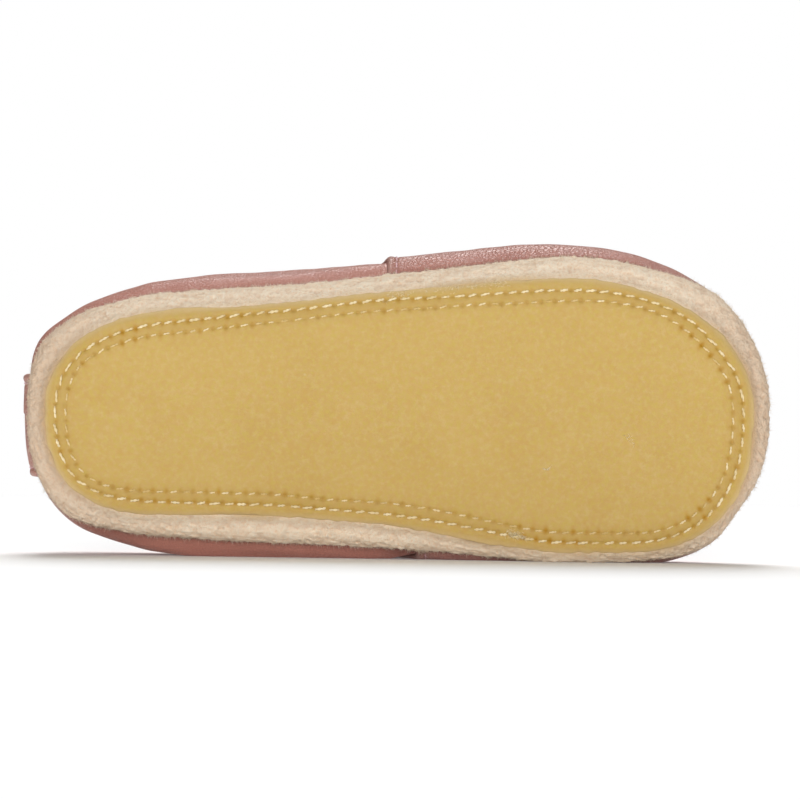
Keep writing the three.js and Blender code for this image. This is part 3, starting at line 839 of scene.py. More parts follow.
# %% Thread helper
def sew(name, starts, ends, normals, thickness, sunk, material, tilt=0.1, seed=1, tones=(0.0, 0.5)):
    """One mesh of two-ply stitches from starts to ends, arched off the surface along normals."""
    draw = np.random.default_rng(seed)
    count, rings, sides = len(starts), 9, 6
    t = np.linspace(0, 1, rings)
    along_stitch = unit(ends - starts)
    across = unit(np.cross(normals, along_stitch))
    reach = np.linalg.norm(ends - starts, axis=-1)
    lean_by = draw.normal(tilt, 0.07, count)[:, None] * (t - 0.5)[None] * reach[:, None]
    rise = (np.sin(np.pi * t) ** 0.45)[None] * thickness * draw.uniform(0.85, 1.1, count)[:, None] - sunk
    core = (starts[:, None] + (ends - starts)[:, None] * t[None, :, None]
            + across[:, None] * lean_by[..., None] + normals[:, None] * rise[..., None])
    fullness = (0.55 + 0.45 * np.sin(np.pi * t) ** 0.5)[None]
    girth = thickness * fullness * draw.uniform(0.85, 1.15, count)[:, None]
    twist = draw.uniform(0, 6.28, count)[:, None] + t[None] * 2 * np.pi * 1.1
    points, faces, tone = [], [], []
    stitch_tone = draw.uniform(*tones, count)
    for ply in (0.0, np.pi):
        shift = girth * 0.3
        centre = (core + across[:, None] * (np.cos(twist + ply) * shift)[..., None]
                  + normals[:, None] * (np.sin(twist + ply) * shift * 0.7)[..., None])
        angle = np.arange(sides) / sides * 2 * np.pi
        spokes = (across[:, None, None] * np.cos(angle)[None, None, :, None]
                  + normals[:, None, None] * np.sin(angle)[None, None, :, None])
        tube = centre[:, :, None] + spokes * (girth * 0.33)[..., None, None]
        for k in range(count):
            first = len(points) * rings * sides
            points.append(tube[k])
            faces += grid_faces(rings, sides, first=first).tolist()
            last = first + (rings - 1) * sides
            faces += [list(range(first + sides - 1, first - 1, -1)), list(range(last, last + sides))]
            tone.append(np.full(rings * sides, stitch_tone[k]))
    masks = {"tone": np.concatenate(tone)}
    return make_piece(name, np.stack(points), faces, [material], masks=masks)


# %% The outsole's two rows
def outsole_row(name, row, thickness, cover, seed, tones):
    """A row of stitches that each cover a share of the way from hole to hole."""
    holes = np.append(hole_rows[row], hole_rows[row][0] + 1)
    inset = row_inset(row, holes)
    spots = lifted(plan(holes, -inset), roll(inset) + 0.06)
    starts, ends = spots[:-1], spots[1:]
    draw = np.random.default_rng(seed)
    half = (ends - starts) / 2 * cover * draw.uniform(0.82, 1.12, len(starts))[:, None]
    centre = (starts + ends) / 2 + half * draw.normal(0, 0.1, len(starts))[:, None]
    down = np.tile([0, 0, -1.0], (len(starts), 1))
    return sew(name, centre - half, centre + half, down, thickness, 0.22,
               cream_thread, 0.14, seed, tones)


outsole_row("outsole_thread_outer", 1, 0.5, 0.72, 21, (0.0, 0.6))
outsole_row("outsole_thread_inner", 2, 0.38, 0.54, 22, (0.1, 1.0))

# %% [markdown]
# ## Suede sole
#
# A thick piece of suede that runs past the rubber all round and turns up to a raw, cut edge. Its
# surface is nap, so it is uneven everywhere, and the cut edge is ragged. The uneven surface is
# modelled, and single fibres are added afterwards where they stand out against the leather.

# %% The suede's mesh
SUEDE_ROUND = 1200
# Soft suede puffs up against the rubber's edge by this much, over this reach.
PUFF, PUFF_REACH = 1.25, 1.3
turn = np.arange(SUEDE_ROUND) / SUEDE_ROUND
width = margin(turn)
suede_base = OUTSOLE_THICKNESS + 0.05
foot_z = suede_base + EDGE_ROLL
flat = [(-6.0, suede_base), (-3.0, suede_base + roll(3.0)), (-1.0, suede_base + roll(1.0)), (0.0, foot_z)]
control = [(out + 0 * width, z + 0 * width) for out, z in flat]
control += [(share * width, mix(foot_z, RIM_TOP, rise) + 0 * width) for share, rise in RIM_PROFILE]
outs, heights = np.stack([c[0] for c in control]), np.stack([c[1] for c in control])
share = np.linspace(0, len(control) - 1, 45)
low = np.minimum(share.astype(int), len(control) - 2)
part = share - low


def spline_rows(values):
    """A smooth line of rows through the profile's control rows, for every turn at once."""
    ends = np.concatenate([2 * values[:1] - values[1:2], values, 2 * values[-1:] - values[-2:-1]])
    a, b, c, d = ends[low], ends[low + 1], ends[low + 2], ends[low + 3]
    t = part[:, None]
    return 0.5 * (2 * b + (c - a) * t + (2 * a - 5 * b + 4 * c - d) * t ** 2
                  + (3 * b - a - 3 * c + d) * t ** 3)


face_out, face_z = spline_rows(outs), spline_rows(heights)
face_z = face_z - PUFF * bump_at(np.maximum(face_out, 0), PUFF_REACH) * (face_out > -0.3)
every_third = np.arange(0, SUEDE_ROUND + 3, 3)
ragged = np.interp(np.arange(SUEDE_ROUND), every_third, rng.normal(0, 0.16, SUEDE_ROUND // 3 + 1))
ragged = ragged + 0.22 * waves(lifted(plan(turn, width), 9 + 0 * turn), (5, 14), 10, 5)
near_rim = np.clip((face_z - 6.5) / 2.5, 0, 1)
face_z = face_z + near_rim * ragged[None]
top_out = [width - 0.25, width - 0.8, width - 1.35, width - 1.7, width - SUEDE_THICKNESS]
top_z = [face_z[-1] + 0.22, face_z[-1] + 0.32, face_z[-1] + 0.25, face_z[-1] + 0.05, face_z[-1] - 0.6]
inner_out = [width - SUEDE_THICKNESS, 0 * width - 1.0, 0 * width - 4.0]
inner_z = [face_z[-1] - 1.8, suede_base + 3.0 + 0 * width, suede_base + 1.9 + 0 * width]
all_out = np.concatenate([face_out, np.stack(top_out), np.stack(inner_out)])
all_z = np.concatenate([face_z, np.stack(top_z), np.stack(inner_z)])
grid = np.stack([lifted(plan(turn, all_out[r]), all_z[r]) for r in range(len(all_out))])
around = np.roll(grid, -1, 1) - np.roll(grid, 1, 1)
down_the_profile = np.gradient(grid, axis=0)
suede_normal = unit(np.cross(around, down_the_profile))
shown = np.clip((all_out - 0.1) / 0.5, 0, 1) * (np.arange(len(all_out)) < len(face_out) + 4)[:, None]
rough = 0.16 * waves(grid, (0.8, 1.9), 30, 6) + 0.1 * waves(grid, (2.5, 6.0), 12, 8)
grid = grid + suede_normal * (rough * shown)[..., None]
# Painted shade: how far the surface dips between tufts, stored as a mask that darkens the suede there.
gap = np.clip(-rough / 0.3, 0, 1) * shown
# Darker toward the heel and toe ends.
darker_at_ends = np.clip(1 - np.minimum(along(turn), 1 - along(turn)) / 0.13, 0, 1) + 0 * gap
grid = pressed(grid)
suede_grid, suede_normals = grid, suede_normal
faces = capped_faces(len(grid), SUEDE_ROUND)
edge = np.clip((all_z - 6.5) / 2.5, 0, 1)
glue_side = np.clip(waves(grid, (14, 40), 8, 9) - 0.3, 0, 1)
at_the_ends = np.clip(1 - np.minimum(along(turn), 1 - along(turn)) / 0.1, 0, 1)
glue = np.clip(1 - all_out / 1.7, 0, 1) * np.maximum(0.5 + glue_side, 1.5 * at_the_ends)
masks = {"edge": edge, "glue": glue, "gap": gap, "darker_at_ends": darker_at_ends}
make_piece("suede_sole_skin", grid, faces, [suede], masks=masks, stands_for=["suede_sole"])

# %% [markdown]
# ## Suede fibres
#
# The raw edge is fuzzy: short fibres hang over the leather, most of them along the side that faces
# the floor. Hair particles would vanish in the export, so each fibre is a thin bent spike of real
# mesh, with a fixed seed so that every run grows the same ones.

# %% Fibres
def spikes(roots, directions, lengths, thickness, bend, seed):
    """Bent three-sided spikes; returns their points and faces."""
    draw = np.random.default_rng(seed)
    count = len(roots)
    side = unit(np.cross(directions, draw.normal(size=(count, 3))))
    other = np.cross(directions, side)
    sway = draw.normal(0, bend, (count, 1)) * side + draw.normal(0, bend, (count, 1)) * other
    half = roots + directions * lengths[:, None] * 0.5 + sway * 0.3 * lengths[:, None]
    tip = roots + directions * lengths[:, None] + sway * lengths[:, None]
    corners = []
    for centre, girth in ((roots - directions * 0.15, 1.0), (half, 0.75)):
        for k in range(3):
            angle = k * 2 * np.pi / 3
            spoke = side * math.cos(angle) + other * math.sin(angle)
            corners.append(centre + spoke * (thickness * girth)[:, None])
    points = np.stack(corners + [tip], 1)
    pattern = [(0, 1, 4, 3), (1, 2, 5, 4), (2, 0, 3, 5), (3, 4, 6), (4, 5, 6), (5, 3, 6), (2, 1, 0)]
    faces = [[7 * k + v for v in face] for k in range(count) for face in pattern]
    return points, faces


def fibre_masks(points, edge):
    """Fibres are as light as the raw edge is, with no glue, painted hollow shade or end darkening on them."""
    nothing = np.zeros(points.shape[:2])
    return {"edge": nothing + edge, "glue": nothing, "gap": nothing, "darker_at_ends": nothing}


draw = np.random.default_rng(31)
FIBRES = 11000
row_pick = draw.choice(np.arange(30, len(face_out) + 3), FIBRES)
rim_pick = draw.random(FIBRES) < 0.62
row_pick = np.where(rim_pick, draw.integers(len(face_out) - 6, len(face_out) + 2, FIBRES), row_pick)
turn_pick = draw.integers(0, SUEDE_ROUND, FIBRES)
roots = suede_grid[row_pick, turn_pick]
skin_normal = suede_normals[row_pick, turn_pick]
out_3d = np.concatenate([outward(turn[turn_pick]), np.zeros((FIBRES, 1))], -1)
upward = np.where(rim_pick, 1.0, 0.25)[:, None] * np.array([0, 0, 1.0])
directions = unit(skin_normal * draw.uniform(0.15, 0.6, (FIBRES, 1))
                  + upward * draw.uniform(0.2, 1.0, (FIBRES, 1))
                  + out_3d * draw.uniform(0.0, 0.3, (FIBRES, 1)) + draw.normal(0, 0.4, (FIBRES, 3)))
lengths = np.where(rim_pick, draw.uniform(0.35, 1.25, FIBRES), draw.uniform(0.25, 0.6, FIBRES))
points, faces = spikes(roots, directions, lengths, draw.uniform(0.022, 0.045, FIBRES), 0.35, 32)
points = pressed(points)
make_piece("suede_fibres", points, faces, [suede], masks=fibre_masks(points, 0.8))

# %% Tufts along the raw edge
TUFTS, PER_TUFT = 560, 9
CLUMP_X, CLUMP_REACH, CLUMP_TUFTS, CLUMP_LENGTH = 84.2, 1.3, 34, 1.7
draw = np.random.default_rng(33)
tuft_at = draw.integers(0, SUEDE_ROUND, TUFTS)
tuft_at = tuft_at[draw.random(TUFTS) < np.where(inner_side(turn[tuft_at]), 1.0, 0.4)]
# More and longer tufts at the vamp's inner corner.
corner_at = np.flatnonzero(inner_side(turn) & (np.abs(plan(turn, width)[:, 0] - CLUMP_X) < CLUMP_REACH))
tuft_at = np.append(tuft_at, draw.choice(corner_at, CLUMP_TUFTS))
at = (tuft_at[:, None] + draw.integers(-1, 2, (len(tuft_at), PER_TUFT))).ravel() % SUEDE_ROUND
each = lambda values: np.repeat(values, PER_TUFT, axis=0)
roots = suede_grid[len(face_out) + draw.integers(-2, 3, len(at)), at]
out_3d = np.concatenate([outward(turn[at]), np.zeros((len(at), 1))], -1)
combed = each(draw.normal(0, 0.3, (len(tuft_at), 3))) + draw.normal(0, 0.16, (len(at), 3))
directions = unit(np.array([0, 0, 1.0]) + out_3d * 0.1 + combed)
lengths = each(draw.uniform(0.6, 1.7, len(tuft_at))) * draw.uniform(0.75, 1.1, len(at))
lengths = lengths * np.where(np.arange(len(at)) < len(at) - CLUMP_TUFTS * PER_TUFT, 1.0, CLUMP_LENGTH)
points, faces = spikes(roots, directions, lengths, draw.uniform(0.06, 0.1, len(at)), 0.2, 34)
make_piece("suede_tufts", points, faces, [suede], masks=fibre_masks(points, 0.4))

# %% [markdown]
# ## Fluff caught on the rubber
#
# Loose suede fibres stick to the tread where the needle went through, and one small knot of them
# sits on the outer row. Short spikes laid nearly flat read as fluff, where a painted patch would
# look like dirt.

# %% Fluff
# Columns: x, y of the first end and of the second end, width of the band, fibres in it.
FLUFF = [
    (76, -26.2, 86, -28.2, 0.9, 90), (86, -27.6, 103, -29.4, 0.7, 170), (92, -30.4, 101, -31.2, 0.5, 60),
    (103.6, 27.0, 106.4, 27.8, 0.4, 110), (106.4, 27.9, 108.2, 28.2, 0.2, 24),
    (111.2, 12.6, 112.4, 12.9, 0.06, 14), (112.3, 12.9, 113.0, 12.2, 0.05, 9),
    (130.0, 5.8, 131.8, 6.6, 0.5, 14)]
draw = np.random.default_rng(35)
places, headings = [], []
for x0, y0, x1, y1, spread, count in FLUFF:
    share = draw.random((count, 1))
    places.append(mix(np.array([x0, y0]), np.array([x1, y1]), share) + draw.normal(0, spread, (count, 2)))
    heading = math.atan2(y1 - y0, x1 - x0) + draw.normal(0, 0.35 if spread < 0.1 else 1.2, count)
    headings.append(heading)
places, headings = np.concatenate(places), np.concatenate(headings)
rim = plan(ring, 0 * ring)
apart = places[:, None] - rim[None]
nearest = np.linalg.norm(apart, axis=-1).argmin(1)
in_from_edge = -(apart[np.arange(len(places)), nearest] * outward(ring[nearest])).sum(-1)
tread_there = tread_z(np.maximum(in_from_edge, 0), ring[nearest])
roots = lifted(places, tread_there - draw.uniform(0.02, 0.12, len(places)))
on_rubber = in_from_edge > -0.2
roots, headings = roots[on_rubber], headings[on_rubber]
directions = unit(np.stack([np.cos(headings), np.sin(headings), draw.normal(-0.1, 0.12, len(roots))], -1))
lengths = draw.uniform(0.35, 0.95, len(roots))
points, faces = spikes(roots, directions, lengths, draw.uniform(0.03, 0.06, len(roots)), 0.3, 36)
masks = {"tone": np.zeros(points.shape[:2])}
make_piece("caught_fluff", points, faces, [cream_thread], masks=masks)

# %% [markdown]
# ## Footbed
#
# The insole is hardly seen, except through the collar. It is a plain leather-covered board that
# fills the sole up to the lining, with a soft rounded edge.

# %% Footbed mesh
BED_ROUND = 240
turn = np.arange(BED_ROUND) / BED_ROUND
bed_edge = WALL + GAP - seam_out(turn)
bed_base = OUTSOLE_THICKNESS + SUEDE_THICKNESS + 2 * GAP
# Columns: further in than the bed's edge, height over its base.
BED_ROWS = [
    (9.0, 0.0), (3.0, 0.05), (0.5, 0.3), (0.0, 0.8), (0.0, 1.4), (0.35, 1.85), (1.2, 2.05), (3.0, 2.1),
    (6.0, 2.05), (9.0, 2.0), (13.0, 2.0)]
grid = np.stack([lifted(plan(turn, -(bed_edge + further)), bed_base + roll(bed_edge + further) + z)
                 for further, z in BED_ROWS])
faces = capped_faces(len(grid), BED_ROUND)
make_piece("footbed", grid, faces, [lining], stands_for=["insole"])

# %% [markdown]
# ## Folds in the leather
#
# Soft leather is never quite even. Low waves run all over it, and the main creases are listed one by
# one: across the forefoot where the toes bend, and at the waist and above the heel. Each crease
# has a place, a direction, a length and a depth, and pushes the leather in along a line with a
# small ridge beside it.

# %% Listed creases
# Columns: x, y, z of the middle; direction x, y, z; half length; width; depth.
CREASES = np.array([
    (108, -3, 44, 0.15, 1.0, 0.0, 16, 2.2, 0.55),
    (115, 4, 40, -0.1, 1.0, 0.0, 14, 2.0, 0.45),
    (101, 6, 47, 0.05, 1.0, 0.0, 10, 1.8, 0.3),
    (112, -27, 30, 0.5, 0.3, 0.8, 10, 2.0, 0.4),
    (113, 28, 29, 0.5, -0.3, 0.8, 9, 2.0, 0.35),
    (58, 30, 26, 0.9, 0.1, 0.4, 12, 2.4, 0.5),
    (62, -30, 28, 0.9, 0.0, 0.35, 13, 2.4, 0.45),
    (36, 29, 30, 0.7, 0.1, 0.7, 8, 2.0, 0.4),
    (34, -29, 33, 0.7, -0.1, 0.7, 8, 2.2, 0.4),
    (12, 18, 24, 0.4, 0.8, 0.5, 7, 1.8, 0.35),
    (11, -18, 22, 0.5, -0.7, 0.4, 7, 1.8, 0.3),
    (84, 31, 15, 0.95, 0.0, 0.3, 7, 1.6, 0.4),
    (48, 33, 14, 1.0, 0.0, 0.06, 16, 1.5, 0.3),
    (45, -32, 15, 1.0, 0.0, 0.05, 20, 1.8, 0.25),
])


def folds(points):
    """How far the leather stands in (negative) or out at each point, and how deep in a crease it is."""
    shift = 0.16 * waves(points, (16, 34), 12, 41) + 0.06 * waves(points, (6, 12), 12, 42)
    depth_mask = np.zeros(points.shape[:-1])
    for row in CREASES:
        line = unit(row[3:6])
        away = points - row[:3]
        run = away @ line
        off = away - run[..., None] * line
        gap = np.linalg.norm(off, axis=-1)
        reach = bump_at(run, row[6])
        crease = bump_at(gap, row[7]) * reach
        shift = shift - row[8] * crease + 0.35 * row[8] * bump_at(gap - 2.2 * row[7], row[7]) * reach
        # How deep in a crease a point is; the leathers paint shade with it.
        depth_mask = np.maximum(depth_mask, crease * row[8] / 0.55)
    return shift, np.clip(depth_mask, 0, 1)


# The leather is pinched in where the vamp's inner corner is caught in the sole's seam.
PINCH_X, PINCH_REACH, PINCH_LEVEL, PINCH_DEPTH = 82.5, 3.0, 0.1, 0.5
# Further up it sags to the floor, so no light comes through under it.
SAG_X, SAG_REACH, SAG_LEVEL, SAG_HEIGHT, SAG_DEPTH = 77.0, 13.0, 0.42, 0.17, 2.2


def leather(turn, level, offset=0.0):
    """A point of the leather, folds included, an offset out from the upper's face."""
    face, normal = upper_face(turn, level), upper_normal(turn, level)
    shift, _ = folds(face)
    quiet = np.clip(np.asarray(level) / 0.08, 0, 1)
    caught = bump_at(face[..., 0] - PINCH_X, PINCH_REACH) * bump_at(np.asarray(level) - 0.06, PINCH_LEVEL)
    sagging = bump_at(face[..., 0] - SAG_X, SAG_REACH) * bump_at(np.asarray(level) - SAG_LEVEL, SAG_HEIGHT)
    shift = shift + (SAG_DEPTH * sagging - PINCH_DEPTH * caught) * inner_side(np.asarray(turn) + 0 * caught)
    return face + normal * (offset + shift * quiet)[..., None]


def fold_mask(turn, level):
    return folds(upper_face(turn, level))[1]


# %% [markdown]
# ## Upper
#
# One shell: rose leather outside, a pale lining inside, both running down into the seam with the
# suede. The pieces on top of it, the vamp and the heel strip, are separate leathers.

# %% The upper's mesh
ROUND_UPPER = 420
turn = np.arange(ROUND_UPPER) / ROUND_UPPER
levels = np.concatenate([[0, 0.012, 0.03], np.linspace(0.05, 1, 58)])
vamp_edges = {side: vamp_turn(side, levels) for side in (False, True)}


def under_vamp(turn, level):
    """1 where the vamp covers the upper, fading out over a few millimetres at its edge."""
    start = np.interp(level, levels, vamp_edges[False])
    end = np.interp(level, levels, vamp_edges[True])
    return np.clip(1 + np.minimum(wrapped(turn) - start, end - wrapped(turn)) / 0.012, 0, 1)


turns2, levels2 = np.meshgrid(turn, levels)
cover = (GAP + OVERLAY) * under_vamp(turns2, levels2)
outside = pressed(leather(turns2, levels2, 0 * turns2), cover)
inside = pressed(leather(turns2, levels2, 0 * turns2 - WALL), cover + WALL)
seam = seam_out(turn)
# Columns: how far below the suede's rim the leather is tucked, how deep in the wall.
TUCKS = ((1.4, 0.0), (0.6, 0.0), (1.0, WALL), (2.6, WALL))
tucks = [lifted(plan(turn, seam - drop * 0.12 - depth), RIM_TOP - drop + 0 * turn) for drop, depth in TUCKS]
grid = np.concatenate([[tucks[0]], [tucks[1]], outside, inside[::-1], [tucks[2]], [tucks[3]]])
faces = grid_faces(len(grid), ROUND_UPPER, close=True)
row_of_face = np.repeat(np.arange(len(grid)), ROUND_UPPER)
is_lining = (row_of_face >= 2 + len(levels)).astype(int)
tucked_in = 0 * grid[:2, :, 0]
# Painted shade in the creases and along the foot of the upper, where it dives into the seam.
shade_in_folds = np.maximum(fold_mask(turns2, levels2), np.clip(1 - levels2 / 0.07, 0, 1))
masks = {"fold_shade": np.concatenate([tucked_in, shade_in_folds, 0 * inside[..., 0], tucked_in]),
         "edge": 0 * grid[..., 0]}
make_piece("leather_upper", grid, faces, [quarter_leather, lining], is_lining, masks, ["upper"])


# %% [markdown]
# ## Vamp and heel strip
#
# Both are leathers laid on the upper, with their edges turned under and sewn down. A turned edge
# is a soft roll, twice as thick as the leather, and the seam behind it pulls a shallow furrow. The
# columns of these grids are packed close together near the edges, so the roll and the furrow are
# real shape.

# %% Overlay helper
EDGE_STEPS = np.array([0.0, 0.06, 0.18, 0.36, 0.6, 0.9, 1.25, 1.6, 1.9, 2.15, 2.35, 2.6, 2.95, 3.5, 4.3])
SEAM_INSET = 2.3


def turned_edge(distance, thickness):
    """Height of an overlay's outside at a distance in from its turned edge."""
    shoulder = np.sqrt(np.clip(1 - (1 - np.clip(distance / 0.75, 0, 1)) ** 2, 0, 1))
    swell = 0.28 * bump_at(distance - 1.0, 0.8)
    furrow = 0.24 * bump_at(distance - SEAM_INSET, 0.42)
    return 0.12 + (thickness + GAP - 0.12) * shoulder + swell * shoulder - furrow


def overlay(name, rows, start, end, middle_count, thickness, material, node):
    """A leather panel between two lines of turns, given at each level."""
    panel, fold_shade_rows, masks_edge = [], [], []
    for level, low_turn, high_turn in zip(rows, start, end):
        fine = np.linspace(low_turn, high_turn, 260)
        travelled = measured(leather(fine, level + 0 * fine, 0 * fine))
        inner_run = np.linspace(EDGE_STEPS[-1], travelled[-1] - EDGE_STEPS[-1], middle_count)
        distance = np.concatenate([EDGE_STEPS, inner_run[1:-1], travelled[-1] - EDGE_STEPS[::-1]])
        turns = np.interp(distance, travelled, fine)
        from_edge = np.minimum(distance, travelled[-1] - distance)
        tucked = np.clip(level / 0.07, 0, 1)
        height = mix(0.2, turned_edge(from_edge, thickness), tucked)
        at_level = level + 0 * turns
        panel.append(np.concatenate([pressed(leather(turns, at_level, height)),
                                     pressed(leather(turns, at_level, 0.04 + 0 * height)[::-1], thickness)]))
        # Painted shade in creases, in the seam's furrow and where the panel dives into the sole's seam.
        crease = np.maximum(fold_mask(turns, at_level), 0.5 * bump_at(from_edge - SEAM_INSET, 0.5))
        crease = np.maximum(crease, np.clip(1 - level / 0.09, 0, 1) * 0.8)
        fold_shade_rows.append(np.concatenate([crease, 0 * crease]))
        masks_edge.append(np.concatenate([bump_at(from_edge - 0.7, 0.6), 0 * crease]))
    grid = np.stack(panel)
    columns = grid.shape[1]
    faces = grid_faces(len(grid), columns).tolist()
    half = columns // 2
    for first, over in ((0, True), ((len(grid) - 1) * columns, False)):
        strip = [[first + i, first + i + 1, first + columns - 2 - i, first + columns - 1 - i]
                 for i in range(half - 1)]
        faces += [f[::-1] for f in strip] if over else strip
    masks = {"fold_shade": np.stack(fold_shade_rows), "edge": np.stack(masks_edge)}
    return make_piece(name, grid, faces, [material], masks=masks, stands_for=[node])


# %% Vamp and heel strip
panel_levels = np.concatenate([[0.0, 0.01, 0.025, 0.045], np.linspace(0.07, 1, 52)])
vamp_start, vamp_end = vamp_turn(False, panel_levels), vamp_turn(True, panel_levels)
overlay("vamp_leather", panel_levels, vamp_start, vamp_end, 150, OVERLAY, vamp_leather, "vamp")
strip_start = patch_turn(panel_levels, np.array(PATCH_SHIFT + PATCH_WIDTH / 2))
strip_end = patch_turn(panel_levels, np.array(PATCH_SHIFT - PATCH_WIDTH / 2))
overlay("heel_strip_leather", panel_levels, strip_start, strip_end, 34, OVERLAY, patch_leather, "heel_patch")


# %% [markdown]
# ## Seams on the leather
#
# Rose thread holds the vamp's back edge and the heel strip. Each seam is a path of points at a
# fixed distance from the edge, cut into stitches of equal length.

# %% Sewing along an edge
def seam_path(levels, edge_turns, inset, height, inward):
    """Points and normals of a seam that runs at a distance inside an edge."""
    ahead, behind = (leather(edge_turns + step, levels, 0 * levels) for step in (TINY, -TINY))
    length_of_a_turn = np.linalg.norm(ahead - behind, axis=-1) / (2 * TINY)
    turns = edge_turns + inward * inset / length_of_a_turn
    points = pressed(leather(turns, levels, height + 0 * levels))
    return points, upper_normal(turns, levels)


def sew_path(name, points, normals, pitch, length, thickness, material, seed):
    travelled = measured(points)
    count = max(int(travelled[-1] / pitch), 1)
    middle = (np.arange(count) + 0.5) / count * travelled[-1]
    pick = lambda at: np.stack([np.interp(at, travelled, points[:, k]) for k in range(3)], -1)
    facing = unit(np.stack([np.interp(middle, travelled, normals[:, k]) for k in range(3)], -1))
    return sew(name, pick(middle - length / 2), pick(middle + length / 2), facing, thickness, 0.16,
               material, 0.06, seed, (0.0, 0.6))


seam_levels = np.linspace(0.03, 0.93, 220)
seam_height = OVERLAY + GAP - 0.2
ROSE_PITCH, ROSE_LENGTH, ROSE_THICKNESS = 2.7, 2.1, 0.36
for side, label in ((False, "outer"), (True, "inner")):
    edge_turns = vamp_turn(side, seam_levels)
    points, normals = seam_path(seam_levels, edge_turns, SEAM_INSET, seam_height, -1 if side else 1)
    sew_path("vamp_thread_" + label, points, normals, ROSE_PITCH, ROSE_LENGTH, ROSE_THICKNESS,
             rose_thread, 51 + side)
for sign, label in ((1, "inner"), (-1, "outer")):
    edge_turns = patch_turn(seam_levels, np.array(PATCH_SHIFT + sign * PATCH_WIDTH / 2))
    points, normals = seam_path(seam_levels, edge_turns, SEAM_INSET, seam_height, sign)
    sew_path("heel_thread_" + label, points, normals, ROSE_PITCH, ROSE_LENGTH, ROSE_THICKNESS,
             rose_thread, 55 + sign)

# %% [markdown]
# ## Collar
#
# The collar's edge is bound with a narrow strip of the same leather, folded over the rim of the
# upper and sewn through. It is a ring whose section is a folded-over strip, thicker where it
# passes over the vamp and the heel strip.

# %% Binding
ROUND_COLLAR = 300
turn = np.arange(ROUND_COLLAR) / ROUND_COLLAR
strip_side = (float(strip_start[-1]), float(strip_end[-1]))
centred = (turn + 0.5) % 1 - 0.5
over_strip = np.clip(1 + np.minimum(centred - strip_side[0], strip_side[1] - centred) / 0.01, 0, 1)
stack = (GAP + OVERLAY) * np.maximum(under_vamp(turn, 1.0 + 0 * turn), over_strip)
# Columns: 0 outside to 1 inside the wall, offset from it, drop below the collar's edge.
SECTION = np.array([
    (0, 0.05, 4.7), (0, 0.42, 4.6), (0, 0.62, 4.1), (0, 0.42, 3.2), (0, 0.62, 2.2), (0, 0.66, 1.2),
    (0, 0.5, 0.3), (0, 0.1, -0.35), (0.5, 0, -0.75), (1, -0.1, -0.35), (1, -0.5, 0.3), (1, -0.66, 1.2),
    (1, -0.62, 2.2), (1, -0.42, 3.2), (1, -0.62, 4.1), (1, -0.42, 4.6), (1, -0.05, 4.7)])
step = 0.02
climb = (upper_face(turn, 1.0 + 0 * turn) - upper_face(turn, 1 - step + 0 * turn)) / step
climb_length = np.linalg.norm(climb, axis=-1)
rows = []
for inside_share, extra, drop in SECTION:
    level = 1 - np.maximum(drop, 0) / climb_length
    offset = mix(stack, -WALL + 0 * stack, inside_share) + extra
    points = leather(turn, level, offset)
    rows.append(points + unit(climb) * max(-drop, 0))
binding = pressed(np.stack(rows))
drops = SECTION[:, 2:] + 0 * turn
# Painted shade along the stitch furrow; the top edge is worn lighter.
masks = {"fold_shade": 0.6 * bump_at(drops - 3.2, 0.6), "edge": 0.5 * bump_at(drops, 1.2)}
faces = grid_faces(len(rows), ROUND_COLLAR, close=True)[:, ::-1]
make_piece("collar_binding", binding, faces, [quarter_leather], masks=masks)
closed = np.append(np.arange(ROUND_COLLAR), 0)
binding_normals = upper_normal(turn, 0.95 + 0 * turn)
sew_path("collar_thread", rows[3][closed], binding_normals[closed], ROSE_PITCH, ROSE_LENGTH, 0.34,
         rose_thread, 61)

# %% [markdown]
# ## Floor and light
#
# The photograph has a pure white ground and one soft shadow under the slipper. A wide pale floor
# meets a white sky, and four far, soft lights stand in for a studio's windows: a tall column
# of three behind and above the slipper throws the shadow toward the camera, and one low in front
# lights the sole. Far lights keep the floor evenly white, which near lamps would not. The
# floor also glows a little, as a lit product table does, so the leather that faces it isn't black.
# Blender's plain Standard view keeps the colours as they are set.

# %% Stage
STAGE = 4.0
FLOOR_WHITE, FLOOR_GLOW, SKY_LIGHT, SKY_SEEN = 0.9, 0.08, 0.1, 1.0
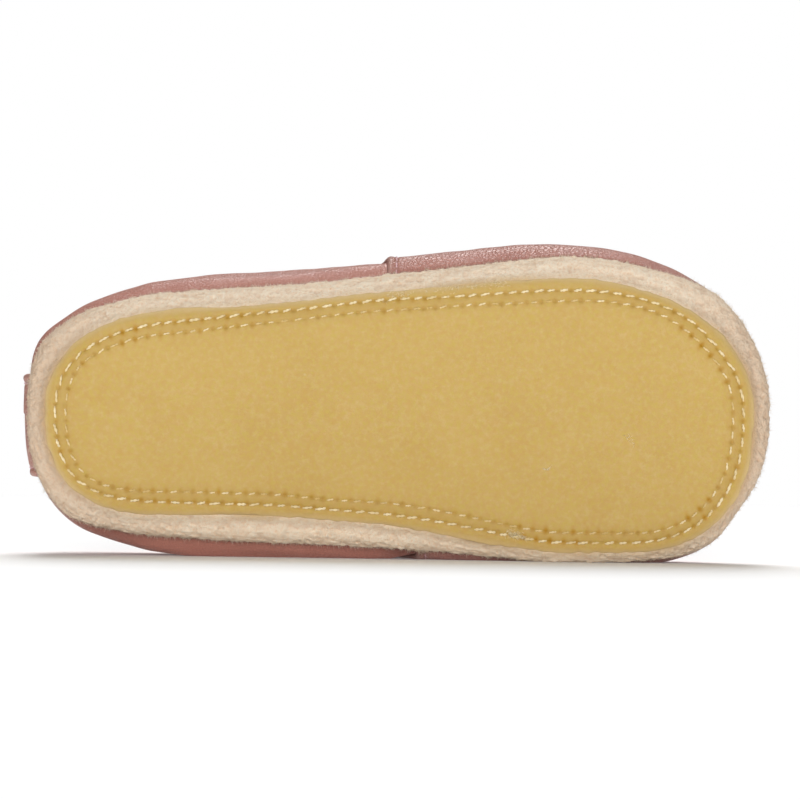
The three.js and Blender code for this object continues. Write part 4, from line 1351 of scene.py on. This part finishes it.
# Columns: height in degrees, degrees round from behind the slipper, spread in degrees, strength,
# whether it shows in gloss.
WINDOWS = {
    "window_behind_low": (34, 0, 24, 0.52, False), "window_behind_high": (54, 0, 24, 0.36, True),
    "window_overhead": (76, 0, 28, 0.26, True), "window_in_front": (5, 180, 36, 1.17, True)}

floor_mesh = bpy.data.meshes.new("studio_floor")
floor_corners = [(-STAGE, -STAGE, 0), (STAGE, -STAGE, 0), (STAGE, STAGE, 0), (-STAGE, STAGE, 0)]
floor_mesh.from_pydata(floor_corners, [], [(0, 1, 2, 3)])
floor_object = new_object("studio_floor", floor_mesh)
floor_paper, tree, shader, place = new_material("white paper")
set_all_over(shader, Base_Color=(FLOOR_WHITE, FLOOR_WHITE, FLOOR_WHITE, 1), Roughness=1.0,
             Specular_IOR_Level=0.0, Emission_Color=(1, 1, 1, 1), Emission_Strength=FLOOR_GLOW)
floor_mesh.materials.append(floor_paper)

world = bpy.data.worlds.new("studio")
world.use_nodes = True
sky = world.node_tree
seen = wire(sky, "ShaderNodeLightPath").outputs["Is Camera Ray"]
sky_strength = wire(sky, "ShaderNodeMapRange", None, i0=seen, i3=SKY_LIGHT, i4=SKY_SEEN).outputs[0]
sky.nodes["Background"].inputs["Color"].default_value = (1, 1, 1, 1)
sky.links.new(sky_strength, sky.nodes["Background"].inputs["Strength"])
bpy.context.scene.world = world


def window(name, height, around, spread, strength, in_gloss):
    """A far, soft light; strength 1 makes white paper that faces it just white."""
    light = bpy.data.lights.new(name, "SUN")
    light.energy, light.angle = math.pi * strength, math.radians(spread)
    lamp = new_object(name, light)
    lamp.visible_glossy = in_gloss
    up, turned_by = math.radians(height), math.radians(around)
    toward = Vector((-math.sin(turned_by) * math.cos(up), math.cos(turned_by) * math.cos(up), math.sin(up)))
    lamp.rotation_euler = toward.to_track_quat("Z", "Y").to_euler()


for name, values in WINDOWS.items():
    window(name, *values)
bpy.context.scene.view_settings.view_transform = "Standard"
bpy.context.scene.view_settings.look = "None"
